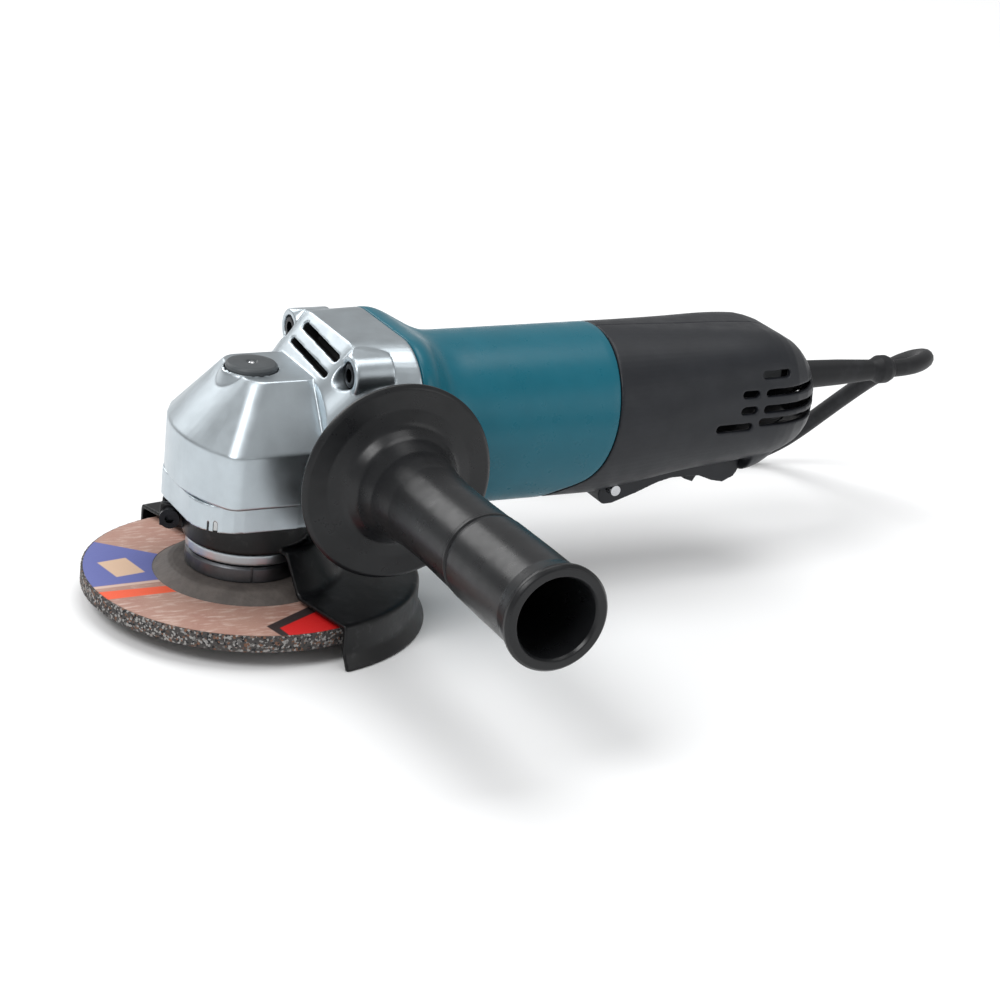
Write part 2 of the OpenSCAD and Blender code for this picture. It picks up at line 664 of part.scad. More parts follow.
module pinion_nut() color("#5d6063") on_motor(9.3) difference() {
    cylinder(r = 4.8, h = 4, $fn = 6);
    translate([0, 0, -1]) cylinder(r = 2.4 + seat_gap, h = 8);
}

module front_outer_ring() color("#c3c6c9") on_motor(front_bearing_x) race(15, 11.6, front_bearing_w, 10, 2.4);

module front_inner_ring() color("#c3c6c9") on_motor(front_bearing_x)
    race(8.6, 5 + seat_gap, front_bearing_w, 10, 2.4);

module rear_outer_ring() color("#c3c6c9") on_motor(rear_bearing_x) race(9.5, 7.6, rear_bearing_w, 6.5, 1.7);

module rear_inner_ring() color("#c3c6c9") on_motor(rear_bearing_x)
    race(5.4, 3.5 + seat_gap, rear_bearing_w, 6.5, 1.7);

module rear_bearing_sleeve() color("#202224") on_motor(rear_bearing_x) tube(11.5, 9.5 + seat_gap, 6);

module each_brush() for (s = [-1, 1]) translate([brush_x, 0, motor_z]) rotate([-90 * s, 0, 0]) children();

module brush_holders() color("#b5923f") each_brush() difference() {
    translate([-5.5, -4.5, comm_r + 2]) cube([11, 9, spigot_r - comm_r - 5]);
    translate([-4.1, -3.1, comm_r]) cube([8.2, 6.2, 40]);
}

module carbon_brushes() color("#3a3a3c") each_brush()
    translate([-4, -3, comm_r + 0.15]) cube([8, 6, brush_l - 4]);

module brush_springs() color("#c9cccf") each_brush()
    for (k = [0:2]) translate([0, 0, comm_r + brush_l - 2.6 + 1.5 * k])
        rotate_extrude() translate([2.2, 0]) circle(r = 0.4, $fn = 16);

// ---------- rear handle ----------

// Outer form of the handle, or its inside when inset by the wall
module handle_form(inset) {
    hull() {
        on_motor(barrel_end_x + (inset > 0 ? -1 : 0.02)) cylinder(r = barrel_r - inset, h = 1, $fn = 64);
        section(barrel_end_x + 34, barrel_d - 4 - 2 * inset, barrel_d - 9.5 - 2 * inset, 24 - inset, 2.6);
        section(handle_end_x - 38, handle_w - 2 * inset, 52 - 2 * inset, 20 - inset, 4.2);
        section(handle_end_x - 14 - inset, handle_w - 5 - 2 * inset, 42 - 2 * inset, 18 - inset, 3.6);
        section(handle_end_x - 5 - inset, handle_w - 16 - 2 * inset, 32 - 2 * inset, 14 - inset, 1.6);
        section(handle_end_x - 0.2 - inset, handle_w - 30 - 2 * inset, 18 - 2 * inset, 8 - inset, 1);
    }
    hull() {
        section(paddle_end_x + 1.5 + inset, handle_w - 16 - 2 * inset, 28 - 2 * inset, 12 - inset, -12.4);
        section(paddle_end_x + 6, handle_w - 16 - 2 * inset, 28 - 2 * inset, 12 - inset, -10.6);
        section(handle_end_x - 7 - inset, handle_w - 20 - 2 * inset, 24 - 2 * inset, 11 - inset, -1);
    }
}

// Places of the four handle screws, seen from the side
handle_bosses = [
    [barrel_end_x + 14.5, motor_z + 20.5], [barrel_end_x + 44, motor_z + 20.5],
    [handle_end_x - 30, motor_z + 18.5], [handle_end_x - 9.5, motor_z + 15.5]
];

// Vent slots of one side: distance of the front end from the handle's end, length and height
vent_slots = [
    [35.5, 13, 18], [44.5, 8, 11.3], [34, 21, 11.3], [44.5, 8, 4.8], [34, 21, 4.8], [54.5, 17, -1.6],
    [35.5, 22, -1.2]
];

module handle_vents(s) for (v = vent_slots)
    translate([handle_end_x - v[0], s * handle_half - 8, motor_z + v[2] - 1.2]) cube([v[1], 16, 2.4]);

// The handle's front wall reaches forward under the motor housing's rear edge
module handle_collar() intersection() {
    behind_edge(2 * seat_gap);
    on_motor(barrel_end_x - 40) tube(barrel_r, bore_r + bore_gap, 40 + 0.1);
}

module handle_half_shell(s) difference() {
    union() {
        difference() {
            handle_form(0);
            handle_form(handle_wall);
        }
        handle_collar();
        intersection() {
            handle_form(0.5);
            union() {
                for (b = handle_bosses) translate([b[0], 0, b[1]]) rotate([90, 0, 0])
                    cylinder(r = 4.5, h = 80, center = true);
                translate([hinge_x, 0, hinge_z]) rotate([90, 0, 0]) cylinder(r = 4.2, h = 80, center = true);
                on_motor(handle_end_x - 8) translate([0, cord_z - motor_z, 0]) cylinder(r = 9, h = 8);
            }
        }
    }
    on_motor(barrel_end_x - 2) cylinder(r = spigot_r + spigot_clear, h = spigot_l + 2.2);
    translate([barrel_end_x + 2, -opening_half, motor_z - 60])
        cube([paddle_end_x + 0.8 - barrel_end_x - 2, 2 * opening_half, 50]);
    translate([0, s > 0 ? -100 + seat_gap / 2 : -seat_gap / 2, 0]) cube([400, 100, 200]);
    for (b = handle_bosses) translate([b[0], -9.2, b[1]]) rotate([-90, 0, 0]) cylinder(r = 1.5 + seat_gap, h = 18);
    for (b = handle_bosses) translate([b[0], 0, b[1]]) rotate([-90, 0, 0])
        translate([0, 0, 8]) cylinder(r = 3.3, h = 60);
    translate([hinge_x, 0, hinge_z]) rotate([90, 0, 0])
        cylinder(r = hinge_pin_r + seat_gap, h = 2 * (opening_half + 3), center = true);
    on_motor(handle_end_x - 20) translate([0, cord_z - motor_z, 0]) cylinder(r = 4.3, h = 40);
    on_motor(handle_end_x - 5.2) translate([0, cord_z - motor_z, 0]) cylinder(r = 7.1, h = 2.6);
    handle_vents(s);
}

module handle_left() color("#25272a") handle_half_shell(-1);

module handle_right() color("#25272a") handle_half_shell(1);

module handle_screws() color("#3a3d40") for (b = handle_bosses)
    translate([b[0], 8.02, b[1]]) rotate([-90, 0, 0]) cap_screw(3, 2.6, 1.5, 17);

// ---------- paddle and switch ----------

paddle_outline = [
    [-5.3, -2.5], [-4.6, -5], [-2.8, -6.5], [1, -6.3], [11, -3], [20, 0.5], [26.5, 2], [38, 1.8],
    [paddle_l - 11, -0.6], [paddle_l - 6, -1.6], [paddle_l - 1.5, 0.4], [paddle_l, 2.6],
    [paddle_l, 11.5], [paddle_l - 2, 12.5], [33, 10.2], [16, 6], [4, 4.5], [-4.3, 3]
];

module paddle() color("#202225") difference() {
    translate([hinge_x, paddle_half, hinge_z]) rotate([90, 0, 0])
        linear_extrude(2 * paddle_half) polygon(paddle_outline);
    translate([hinge_x, 0, hinge_z]) rotate([90, 0, 0])
        cylinder(r = hinge_pin_r + run_gap, h = 100, center = true);
    translate([lever_x - 11, -lever_half - 0.5, hinge_z - 20]) cube([17, 2 * lever_half + 1, 60]);
    translate([lever_x, 0, lever_z]) rotate([90, 0, 0]) cylinder(r = 1.5 + seat_gap, h = 18, center = true);
}

module paddle_pin() color("#b9bcc0") translate([hinge_x, 0, hinge_z]) rotate([90, 0, 0])
    cylinder(r = hinge_pin_r, h = 2 * (opening_half + 2.5), center = true);

module lock_off_lever() color("#303336") difference() {
    translate([lever_x, lever_half, lever_z]) rotate([90, 0, 0]) linear_extrude(2 * lever_half) polygon([
        [-3.4, -3], [-5.5, -9.5], [-1.5, -11], [2.8, -4], [3.6, 0], [3, 4.5], [-1, 5.5], [-3.2, 3]
    ]);
    translate([lever_x, 0, lever_z]) rotate([90, 0, 0]) cylinder(r = 1.5 + run_gap, h = 30, center = true);
}

module lock_off_pin() color("#b9bcc0") translate([lever_x, 0, lever_z]) rotate([90, 0, 0])
    cylinder(r = 1.5, h = 18, center = true);

module paddle_spring() color("#c9cccf") translate([hinge_x + 18, 0, hinge_z + 7.5])
    for (k = [0:6]) translate([0, 0, 0.6 + 1.8 * k])
        rotate_extrude() translate([3, 0]) circle(r = 0.5, $fn = 16);

module switch_body() color("#34373a") difference() {
    translate([plunger_x - 18, -9, plunger_z + 6]) cube([38, 18, 21]);
    translate([plunger_x, 0, plunger_z]) cylinder(r = plunger_r + run_gap, h = 14);
}

module switch_plunger() color("#b33a2e") translate([plunger_x, 0, plunger_z - 3]) cylinder(r = plunger_r, h = 12);

// ---------- cord ----------

module cord_clamp() color("#34373a") difference() {
    translate([handle_end_x - 23, -9, cord_z + 0.1]) cube([8, 18, 6.5]);
    on_motor(handle_end_x - 24) translate([0, cord_z - motor_z, 0]) cylinder(r = cord_r + seat_gap, h = 10);
    for (s = [-1, 1]) translate([handle_end_x - 19, s * 6.4, cord_z - 1]) cylinder(r = 1.4, h = 10);
}

module cord_guard() color("#1a1b1d") translate([0, 0, cord_z - motor_z]) difference() {
    union() {
        on_motor(handle_end_x - 5) cylinder(r = 6.9, h = 2.2);
        on_motor(handle_end_x - 7.8) cylinder(r = 4.2, h = 10);
        on_motor(handle_end_x + 0.3) cylinder(r1 = 6.2, r2 = 4.6, h = guard_end_x - handle_end_x - 8);
        on_motor(guard_end_x - 8) rotate_extrude() intersection() {
            translate([0, 4.4]) circle(r = 5.8);
            square([6, 7.8]);
        }
    }
    on_motor(handle_end_x - 30) cylinder(r = cord_r + seat_gap, h = 100);
}

module cord_lead() color("#1d1e20") translate([0, 0, cord_z - motor_z])
    on_motor(handle_end_x - 26) cylinder(r = cord_r, h = guard_end_x - handle_end_x + 26);

module cord_tube() color("#1d1e20") route_tube(lead_route, cord_r);

module cord_coil() color("#1d1e20") translate([coil_at[0], coil_at[1], floor_z])
    rotate_extrude() translate([coil_mid_r - coil_half, 0]) square([2 * coil_half, coil_layers * cord_d]);

module cord_tail() color("#1d1e20") route_tube(tail_route, cord_r);

module plug_body() color("#222326") translate([plug_at[0], plug_at[1] + seat_gap, floor_z]) difference() {
    hull() {
        translate([-5, 0, 0]) cube([10, 2, 9]);
        translate([-10, 14, 0]) cube([20, 12, 13]);
        translate([-8.5, 36, 1]) cube([17, 2, 11]);
    }
    for (s = [-1, 1]) translate([s * 5.5, 28, 6.5]) rotate([-90, 0, 0]) cylinder(r = 2.02, h = 20);
}

module plug_pins() color("#c9ccce") for (s = [-1, 1])
    translate([plug_at[0] + s * 5.5, plug_at[1] + 28.1, floor_z + 6.5]) rotate([-90, 0, 0]) cylinder(r = 2, h = 27);

gear_housing();
housing_screws();
shaft_lock_cap();
shaft_lock_pin();
shaft_lock_spring();
upper_bush();
spindle();
bevel_gear();
gear_clip();
bearing_outer_ring();
bearing_inner_ring();
bearing_balls();
bearing_retainer();
bearing_box();
bearing_box_screws();
wheel_guard();
guard_clamp_screw();
guard_clamp_nut();
inner_flange();
grinding_wheel();
lock_nut();
side_handle_grip();
side_handle_stud();
motor_housing();
baffle_ring();
stator_core();
field_coils();
armature_shaft();
armature_core();
armature_windings();
commutator();
fan();
pinion();
pinion_nut();
front_outer_ring();
front_inner_ring();
rear_outer_ring();
rear_inner_ring();
rear_bearing_sleeve();
brush_holders();
carbon_brushes();
brush_springs();
handle_left();
handle_right();
handle_screws();
paddle();
paddle_pin();
lock_off_lever();
lock_off_pin();
paddle_spring();
switch_body();
switch_plunger();
cord_clamp();
cord_guard();
cord_lead();
cord_tube();
cord_coil();
cord_tail();
plug_body();
plug_pins();
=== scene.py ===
import json
import math

import bmesh
import bpy
from mathutils import Matrix, Vector


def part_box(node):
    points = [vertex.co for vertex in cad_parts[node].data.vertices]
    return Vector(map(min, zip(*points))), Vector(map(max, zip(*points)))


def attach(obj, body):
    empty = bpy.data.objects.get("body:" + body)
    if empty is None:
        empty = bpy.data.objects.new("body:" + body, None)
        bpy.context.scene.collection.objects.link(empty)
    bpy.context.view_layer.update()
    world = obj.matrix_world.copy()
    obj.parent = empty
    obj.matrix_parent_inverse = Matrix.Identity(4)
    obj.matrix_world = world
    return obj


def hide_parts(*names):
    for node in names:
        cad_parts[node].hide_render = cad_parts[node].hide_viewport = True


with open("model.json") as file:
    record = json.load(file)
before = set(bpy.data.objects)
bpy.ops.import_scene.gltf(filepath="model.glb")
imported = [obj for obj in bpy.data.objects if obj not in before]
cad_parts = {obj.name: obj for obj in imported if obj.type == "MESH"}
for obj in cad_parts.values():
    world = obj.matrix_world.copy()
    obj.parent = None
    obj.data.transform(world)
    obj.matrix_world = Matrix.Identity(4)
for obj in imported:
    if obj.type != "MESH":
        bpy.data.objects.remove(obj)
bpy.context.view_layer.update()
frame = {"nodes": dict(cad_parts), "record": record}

MM = 0.001


# ---------- sizes, in millimetres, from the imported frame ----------

def mm_box(node):
    """Lowest and highest corner of a CAD node, in millimetres."""
    low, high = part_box(node)
    return Vector(low) / MM, Vector(high) / MM


wheel_low, wheel_high = mm_box("grinding_wheel")
nut_high = mm_box("lock_nut")[1]
flange_high = mm_box("inner_flange")[1]
box_high = mm_box("bearing_box")[1]
guard_low, guard_high = mm_box("wheel_guard")
motor_low, motor_high = mm_box("motor_housing")
shell_high = mm_box("handle_left")[1]
comm_low, comm_high = mm_box("commutator")
grip_low, grip_high = mm_box("side_handle_grip")
cap_low, cap_high = mm_box("shaft_lock_cap")
gland_low, gland_high = mm_box("cord_guard")
coil_low, coil_high = mm_box("cord_coil")

wheel_r = wheel_high.x
wheel_thick = 6
rim_top = wheel_low.z + wheel_thick
hub_r = 31
floor_z = guard_low.z
motor_z = (comm_low.z + comm_high.z) / 2
joint_x = motor_low.x
flange_w = motor_high.y - motor_low.y
barrel_r = 32
handle_end = shell_high.x
side_x = (grip_low.x + grip_high.x) / 2
side_z = (grip_low.z + grip_high.z) / 2
grip_l = grip_high.y - grip_low.y
disc_r = (grip_high.z - grip_low.z) / 2
cap_x = (cap_low.x + cap_high.x) / 2
cap_r = (cap_high.x - cap_low.x) / 2
cord_z = (gland_low.z + gland_high.z) / 2
cord_r = 3.5
# The four screws of the gear housing, from the motor axis
screw_side, screw_up = 26.5, 28

# Places that turn a piece made along Z onto the motor axis, the cord's exit and the side handle
ON_MOTOR = Matrix(((0, 0, 1, 0), (1, 0, 0, 0), (0, 1, 0, motor_z), (0, 0, 0, 1)))
ON_CORD = Matrix(((0, 0, 1, 0), (1, 0, 0, 0), (0, 1, 0, cord_z), (0, 0, 0, 1)))
ON_SIDE = Matrix(((1, 0, 0, side_x), (0, 0, -1, grip_high.y), (0, 1, 0, side_z), (0, 0, 0, 1)))


# ---------- camera ----------

def make_camera():
    """The camera stands in front of the wheel, a little above the tool, and looks along the motor."""
    data = bpy.data.cameras.new("camera")
    data.sensor_width = 36
    data.lens = 99.08
    data.clip_start, data.clip_end = 0.05, 20
    camera = bpy.data.objects.new("camera", data)
    bpy.context.scene.collection.objects.link(camera)
    right = Vector((0.88883, -0.44741, 0.09903))
    up = Vector((0.07877, 0.36206, 0.92882))
    back = Vector((-0.45142, -0.81776, 0.35706))
    turn = Matrix((right, up, back)).transposed()
    camera.matrix_world = Matrix.Translation(Vector((-361.07, -838.58, 390.53)) * MM) @ turn.to_4x4()
    bpy.context.scene.camera = camera


make_camera()


# ---------- mesh helpers ----------

def new_piece(name, verts, faces, place=None):
    """A mesh object in millimetres, with its faces turned outward; finished() brings it to metres."""
    place = place or Matrix.Identity(4)
    mesh = bpy.data.meshes.new(name)
    mesh.from_pydata([place @ Vector(v) for v in verts], [], faces)
    obj = bpy.data.objects.new(name, mesh)
    bpy.context.scene.collection.objects.link(obj)
    tidy(obj)
    return obj


def tidy(obj, sharp=40):
    """Joins doubled points, turns the faces outward, and shades smooth except at sharp edges."""
    bm = bmesh.new()
    bm.from_mesh(obj.data)
    bmesh.ops.remove_doubles(bm, verts=bm.verts, dist=0.002)
    bmesh.ops.dissolve_degenerate(bm, edges=bm.edges, dist=1e-4)
    bmesh.ops.recalc_face_normals(bm, faces=bm.faces)
    for face in bm.faces:
        face.smooth = True
    for edge in bm.edges:
        edge.smooth = edge.calc_face_angle(0) < math.radians(sharp)
    bm.to_mesh(obj.data)
    bm.free()


def filleted(points, radius, steps=5):
    """A closed outline with its corners rounded. radius is one number, or one for each corner."""
    count = len(points)
    radii = radius if isinstance(radius, (list, tuple)) else [radius] * count
    out = []
    for i in range(count):
        corner = Vector(points[i])
        before = Vector(points[i - 1]) - corner
        after = Vector(points[(i + 1) % count]) - corner
        half = before.angle(after) / 2
        if radii[i] <= 0 or half > 1.53:
            out.append(tuple(corner))
            continue
        cut = min(radii[i] / math.tan(half), 0.48 * before.length, 0.48 * after.length)
        start, end = corner + before.normalized() * cut, corner + after.normalized() * cut
        for k in range(steps + 1):
            t = k / steps
            out.append(tuple((1 - t) ** 2 * start + 2 * t * (1 - t) * corner + t * t * end))
    return out


def lathe(name, outline, steps=144, start=0, sweep=360, place=None):
    """A closed outline of (radius, height) turned about Z."""
    full = abs(sweep) == 360
    rows = steps if full else steps + 1
    n = len(outline)
    verts, faces = [], []
    for k in range(rows):
        a = math.radians(start + sweep * k / steps)
        verts += [(r * math.cos(a), r * math.sin(a), h) for r, h in outline]
    for k in range(steps):
        for i in range(n):
            j, m = (i + 1) % n, (k + 1) % rows
            faces.append((k * n + i, k * n + j, m * n + j, m * n + i))
    if not full:
        faces += [tuple(range(n)), tuple(reversed(range(steps * n, (steps + 1) * n)))]
    return new_piece(name, verts, faces, place)


def skin(name, rings, ring_closed=False, place=None):
    """A skin over rings of equal length, closed by end caps or by joining the last ring to the first."""
    n = len(rings[0])
    verts = [p for ring in rings for p in ring]
    faces = []
    last = len(rings) if ring_closed else len(rings) - 1
    for k in range(last):
        m = (k + 1) % len(rings)
        for i in range(n):
            j = (i + 1) % n
            faces.append((k * n + i, k * n + j, m * n + j, m * n + i))
    if not ring_closed:
        faces += [tuple(reversed(range(n))), tuple(range((len(rings) - 1) * n, len(rings) * n))]
    return new_piece(name, verts, faces, place)


def extruded(name, outline, low, high, place=None):
    """A closed outline of (x, y) pulled along Z."""
    return skin(name, [[(x, y, z) for x, y in outline] for z in (low, high)], place=place)


def block(name, low, high, place=None):
    """A box used as a cutter or as the start of a shape."""
    outline = [(low[0], low[1]), (high[0], low[1]), (high[0], high[1]), (low[0], high[1])]
    return extruded(name, outline, low[2], high[2], place)


def circle(r, steps):
    return [(r * math.cos(math.tau * k / steps), r * math.sin(math.tau * k / steps)) for k in range(steps)]


def rod(name, r, low, high, place=None, steps=64):
    """A round bar along Z, used as a cutter or as the start of a shape."""
    return extruded(name, circle(r, steps), low, high, place)


def hull(name, points, place=None):
    """The tight skin round some points."""
    place = place or Matrix.Identity(4)
    bm = bmesh.new()
    for p in points:
        bm.verts.new(place @ Vector(p))
    made = bmesh.ops.convex_hull(bm, input=bm.verts)
    loose = {v for v in made["geom_interior"] + made["geom_unused"] if isinstance(v, bmesh.types.BMVert)}
    bmesh.ops.delete(bm, geom=list(loose), context="VERTS")
    mesh = bpy.data.meshes.new(name)
    bm.to_mesh(mesh)
    bm.free()
    obj = bpy.data.objects.new(name, mesh)
    bpy.context.scene.collection.objects.link(obj)
    tidy(obj)
    return obj


def round_rect(w, h, r, steps=20):
    """Points of a rectangle with round corners, counter-clockwise."""
    r = min(r, w / 2 - 0.01, h / 2 - 0.01)
    out = []
    for corner, (su, sv) in enumerate(((1, 1), (-1, 1), (-1, -1), (1, -1))):
        for k in range(steps + 1):
            a = math.radians(90 * corner + 90 * k / steps)
            out.append((su * (w / 2 - r) + r * math.cos(a), sv * (h / 2 - r) + r * math.sin(a)))
    return out


def remove(obj):
    bpy.data.objects.remove(obj, do_unlink=True)


def bake(obj):
    """Applies the modifiers to the mesh."""
    bpy.context.view_layer.update()
    seen = obj.evaluated_get(bpy.context.evaluated_depsgraph_get())
    mesh = bpy.data.meshes.new_from_object(seen)
    obj.modifiers.clear()
    obj.data = mesh


def triangulate(obj):
    bm = bmesh.new()
    bm.from_mesh(obj.data)
    bmesh.ops.triangulate(bm, faces=bm.faces)
    bm.to_mesh(obj.data)
    bm.free()


def combine(obj, others, how="DIFFERENCE"):
    """Cuts the others out of obj or joins them to it, and removes them."""
    triangulate(obj)
    for other in others:
        triangulate(other)
        change = obj.modifiers.new(how, "BOOLEAN")
        change.operation, change.object, change.solver = how, other, "EXACT"
        bake(obj)
        remove(other)
    return obj


def soften(obj, voxel=0.5, rounds=3):
    """Rounds every edge a little: an even remesh, drawn back to the sharp surface and smoothed."""
    sharp = obj.copy()
    sharp.data = obj.data.copy()
    bpy.context.scene.collection.objects.link(sharp)
    even = obj.modifiers.new("even", "REMESH")
    even.mode, even.voxel_size = "VOXEL", voxel
    hug = obj.modifiers.new("hug", "SHRINKWRAP")
    hug.target, hug.wrap_method = sharp, "NEAREST_SURFACEPOINT"
    relax = obj.modifiers.new("relax", "SMOOTH")
    relax.factor, relax.iterations = 0.5, rounds
    bake(obj)
    remove(sharp)
    for face in obj.data.polygons:
        face.use_smooth = True
    return obj


def copy_of(node, name):
    """A free copy of a CAD node's mesh, to be worked on."""
    mesh = frame["nodes"][node].data.copy()
    mesh.transform(Matrix.Scale(1 / MM, 4))
    mesh.materials.clear()
    obj = bpy.data.objects.new(name, mesh)
    bpy.context.scene.collection.objects.link(obj)
    tidy(obj)
    return obj


def joined(name, parts):
    """One object from several."""
    bm = bmesh.new()
    for part in parts:
        bm.from_mesh(part.data)
    mesh = bpy.data.meshes.new(name)
    bm.to_mesh(mesh)
    bm.free()
    obj = bpy.data.objects.new(name, mesh)
    bpy.context.scene.collection.objects.link(obj)
    for part in parts:
        remove(part)
    return obj


def smooth_between(rows, at):
    """The row of numbers at a place, on a smooth curve through the rows; a row starts with its place."""
    k = 0
    while k < len(rows) - 2 and at > rows[k + 1][0]:
        k += 1
    p1, p2 = rows[k], rows[k + 1]
    p0, p3 = rows[max(k - 1, 0)], rows[min(k + 2, len(rows) - 1)]
    t = min(max((at - p1[0]) / (p2[0] - p1[0]), 0), 1)
    out = []
    for a, b, c, d in zip(p0[1:], p1[1:], p2[1:], p3[1:]):
        if (b - a) * (c - b) <= 0:
            a = 2 * b - c if p0 is p1 else b - (c - b) * 0.3
        if (d - c) * (c - b) <= 0:
            d = c + (c - b) * 0.3
        out.append(0.5 * (2 * b + (c - a) * t + (2 * a - 5 * b + 4 * c - d) * t ** 2
                          + (3 * b - a - 3 * c + d) * t ** 3))
    return out


# ---------- materials ----------

class Finish:
    """A procedural material: one shader, with colour and bump built from textures in the row frame."""

    def __init__(self, name, color, rough, metal=0.0, **sockets):
        self.mat = bpy.data.materials.new(name)
        self.mat.use_nodes = True
        self.tree = self.mat.node_tree
        self.shader = self.tree.nodes["Principled BSDF"]
        self.color = (*color, 1.0)
        self.shader.inputs["Base Color"].default_value = self.color
        self.shader.inputs["Roughness"].default_value = rough
        self.shader.inputs["Metallic"].default_value = metal
        for key, value in sockets.items():
            self.shader.inputs[key.replace("_", " ")].default_value = value
        self.place = self.tree.nodes.new("ShaderNodeTexCoord").outputs["Object"]
        self.height = None

    def node(self, kind, **values):
        made = self.tree.nodes.new(kind)
        for key, value in values.items():
            if hasattr(made, key):
                setattr(made, key, value)
            else:
                made.inputs[key.replace("_", " ")].default_value = value
        return made

    def link(self, a, b):
        self.tree.links.new(a, b)

    def noise(self, size_mm, detail=4.0, stretch=(1, 1, 1)):
        """Cloudy noise with features of about that size."""
        grow = self.node("ShaderNodeMapping")
        grow.inputs["Scale"].default_value = tuple(s / (size_mm * MM) for s in stretch)
        self.link(self.place, grow.inputs["Vector"])
        cloud = self.node("ShaderNodeTexNoise", Scale=1.0, Detail=detail, Roughness=0.6)
        self.link(grow.outputs["Vector"], cloud.inputs["Vector"])
        return cloud.outputs["Fac"]

    def cells(self, size_mm):
        """Grains of about that size: their distance and their random colour."""
        grow = self.node("ShaderNodeMapping")
        grow.inputs["Scale"].default_value = (1 / (size_mm * MM),) * 3
        self.link(self.place, grow.inputs["Vector"])
        grain = self.node("ShaderNodeTexVoronoi", Scale=1.0)
        self.link(grow.outputs["Vector"], grain.inputs["Vector"])
        return grain.outputs["Distance"], grain.outputs["Color"]

    def math(self, how, a, b):
        """One arithmetic step; a and b are numbers or sockets."""
        made = self.node("ShaderNodeMath", operation=how)
        for k, value in enumerate((a, b)):
            if isinstance(value, (int, float)):
                made.inputs[k].default_value = value
            else:
                self.link(value, made.inputs[k])
        return made.outputs[0]

    def ramp(self, value, low, high):
        """The value stretched so that low to high becomes 0 to 1."""
        made = self.node("ShaderNodeMapRange")
        made.inputs["From Min"].default_value = low
        made.inputs["From Max"].default_value = high
        self.link(value, made.inputs["Value"])
        return made.outputs["Result"]

    def tint(self, mask, color):
        """Mixes another colour in where the mask is 1."""
        mix = self.node("ShaderNodeMix", data_type="RGBA")
        self.link(mask, mix.inputs["Factor"])
        socket = self.shader.inputs["Base Color"]
        if socket.is_linked:
            self.link(socket.links[0].from_socket, mix.inputs["A"])
        else:
            mix.inputs["A"].default_value = self.color
        mix.inputs["B"].default_value = (*color, 1.0)
        self.link(mix.outputs["Result"], socket)

    def bump(self, height, depth_mm, strength=1.0):
        """Adds a relief of that depth."""
        made = self.node("ShaderNodeBump", Strength=strength, Distance=depth_mm * MM)
        self.link(height, made.inputs["Height"])
        if self.height:
            self.link(self.height, made.inputs["Normal"])
        self.height = made.outputs["Normal"]
        self.link(self.height, self.shader.inputs["Normal"])

    def rough(self, value, low, high):
        """Roughness that varies from low to high with a texture value."""
        made = self.node("ShaderNodeMapRange")
        made.inputs["From Min"].default_value = 0.3
        made.inputs["From Max"].default_value = 0.7
        made.inputs["To Min"].default_value = low
        made.inputs["To Max"].default_value = high
        self.link(value, made.inputs["Value"])
        self.link(made.outputs["Result"], self.shader.inputs["Roughness"])


def moulded(name, color, rough, grain_mm=0.35, depth=0.015, lift=1.6):
    """Moulded plastic: a fine spark-eroded texture, slight colour clouds and scuffs."""
    f = Finish(name, color, rough, Specular_IOR_Level=0.32)
    f.tint(f.ramp(f.noise(14, 3), 0.35, 0.9), tuple(min(1, c * lift + 0.002) for c in color))
    f.bump(f.noise(grain_mm, 2), depth)
    f.rough(f.noise(6, 5), rough - 0.05, rough + 0.07)
    return f.mat


def cast_metal(name, color, rough):
    """Polished casting: soft unevenness, fine polishing lines and small pits."""
    f = Finish(name, color, rough, 1.0)
    f.tint(f.ramp(f.noise(9, 4), 0.3, 0.75), tuple(c * 0.9 for c in color))
    f.bump(f.noise(14, 2), 0.05)
    f.bump(f.noise(0.6, 3, (1, 1, 0.2)), 0.004)
    f.rough(f.noise(8, 4), rough - 0.04, rough + 0.06)
    return f.mat


def turned_metal(name, color, rough, pitch=0.25):
    """Turned or ground steel: fine lines and a slight stain."""
    f = Finish(name, color, rough, 1.0)
    f.tint(f.ramp(f.noise(4, 4), 0.35, 0.8), tuple(c * 0.78 for c in color))
    f.bump(f.noise(pitch, 2, (0.3, 0.3, 1)), 0.006)
    f.rough(f.noise(2.5, 3), rough - 0.05, rough + 0.1)
    return f.mat


def painted_sheet(name, color, rough):
    """Black powder paint on sheet steel: orange peel, with dust and rubbed spots."""
    f = Finish(name, color, rough, 0.0, Specular_IOR_Level=0.3)
    f.tint(f.ramp(f.noise(5, 6), 0.55, 0.95), (0.05, 0.05, 0.05))
    f.bump(f.noise(1.1, 2), 0.02)
    f.rough(f.noise(7, 4), rough - 0.06, rough + 0.08)
    return f.mat


def abrasive_grain():
    """Bonded grain: dark and light grains of about half a millimetre in a grey-brown bond."""
    f = Finish("abrasive grain", (0.055, 0.05, 0.048), 0.85)
    distance, color = f.cells(0.75)
    pick = f.node("ShaderNodeSeparateColor")
    f.link(color, pick.inputs["Color"])
    f.tint(f.ramp(pick.outputs["Red"], 0.62, 0.8), (0.30, 0.29, 0.28))
    f.tint(f.ramp(pick.outputs["Green"], 0.8, 0.9), (0.012, 0.012, 0.014))
    f.tint(f.ramp(pick.outputs["Blue"], 0.86, 0.93), (0.16, 0.08, 0.05))
    f.bump(distance, 0.25, 0.9)
    return f.mat


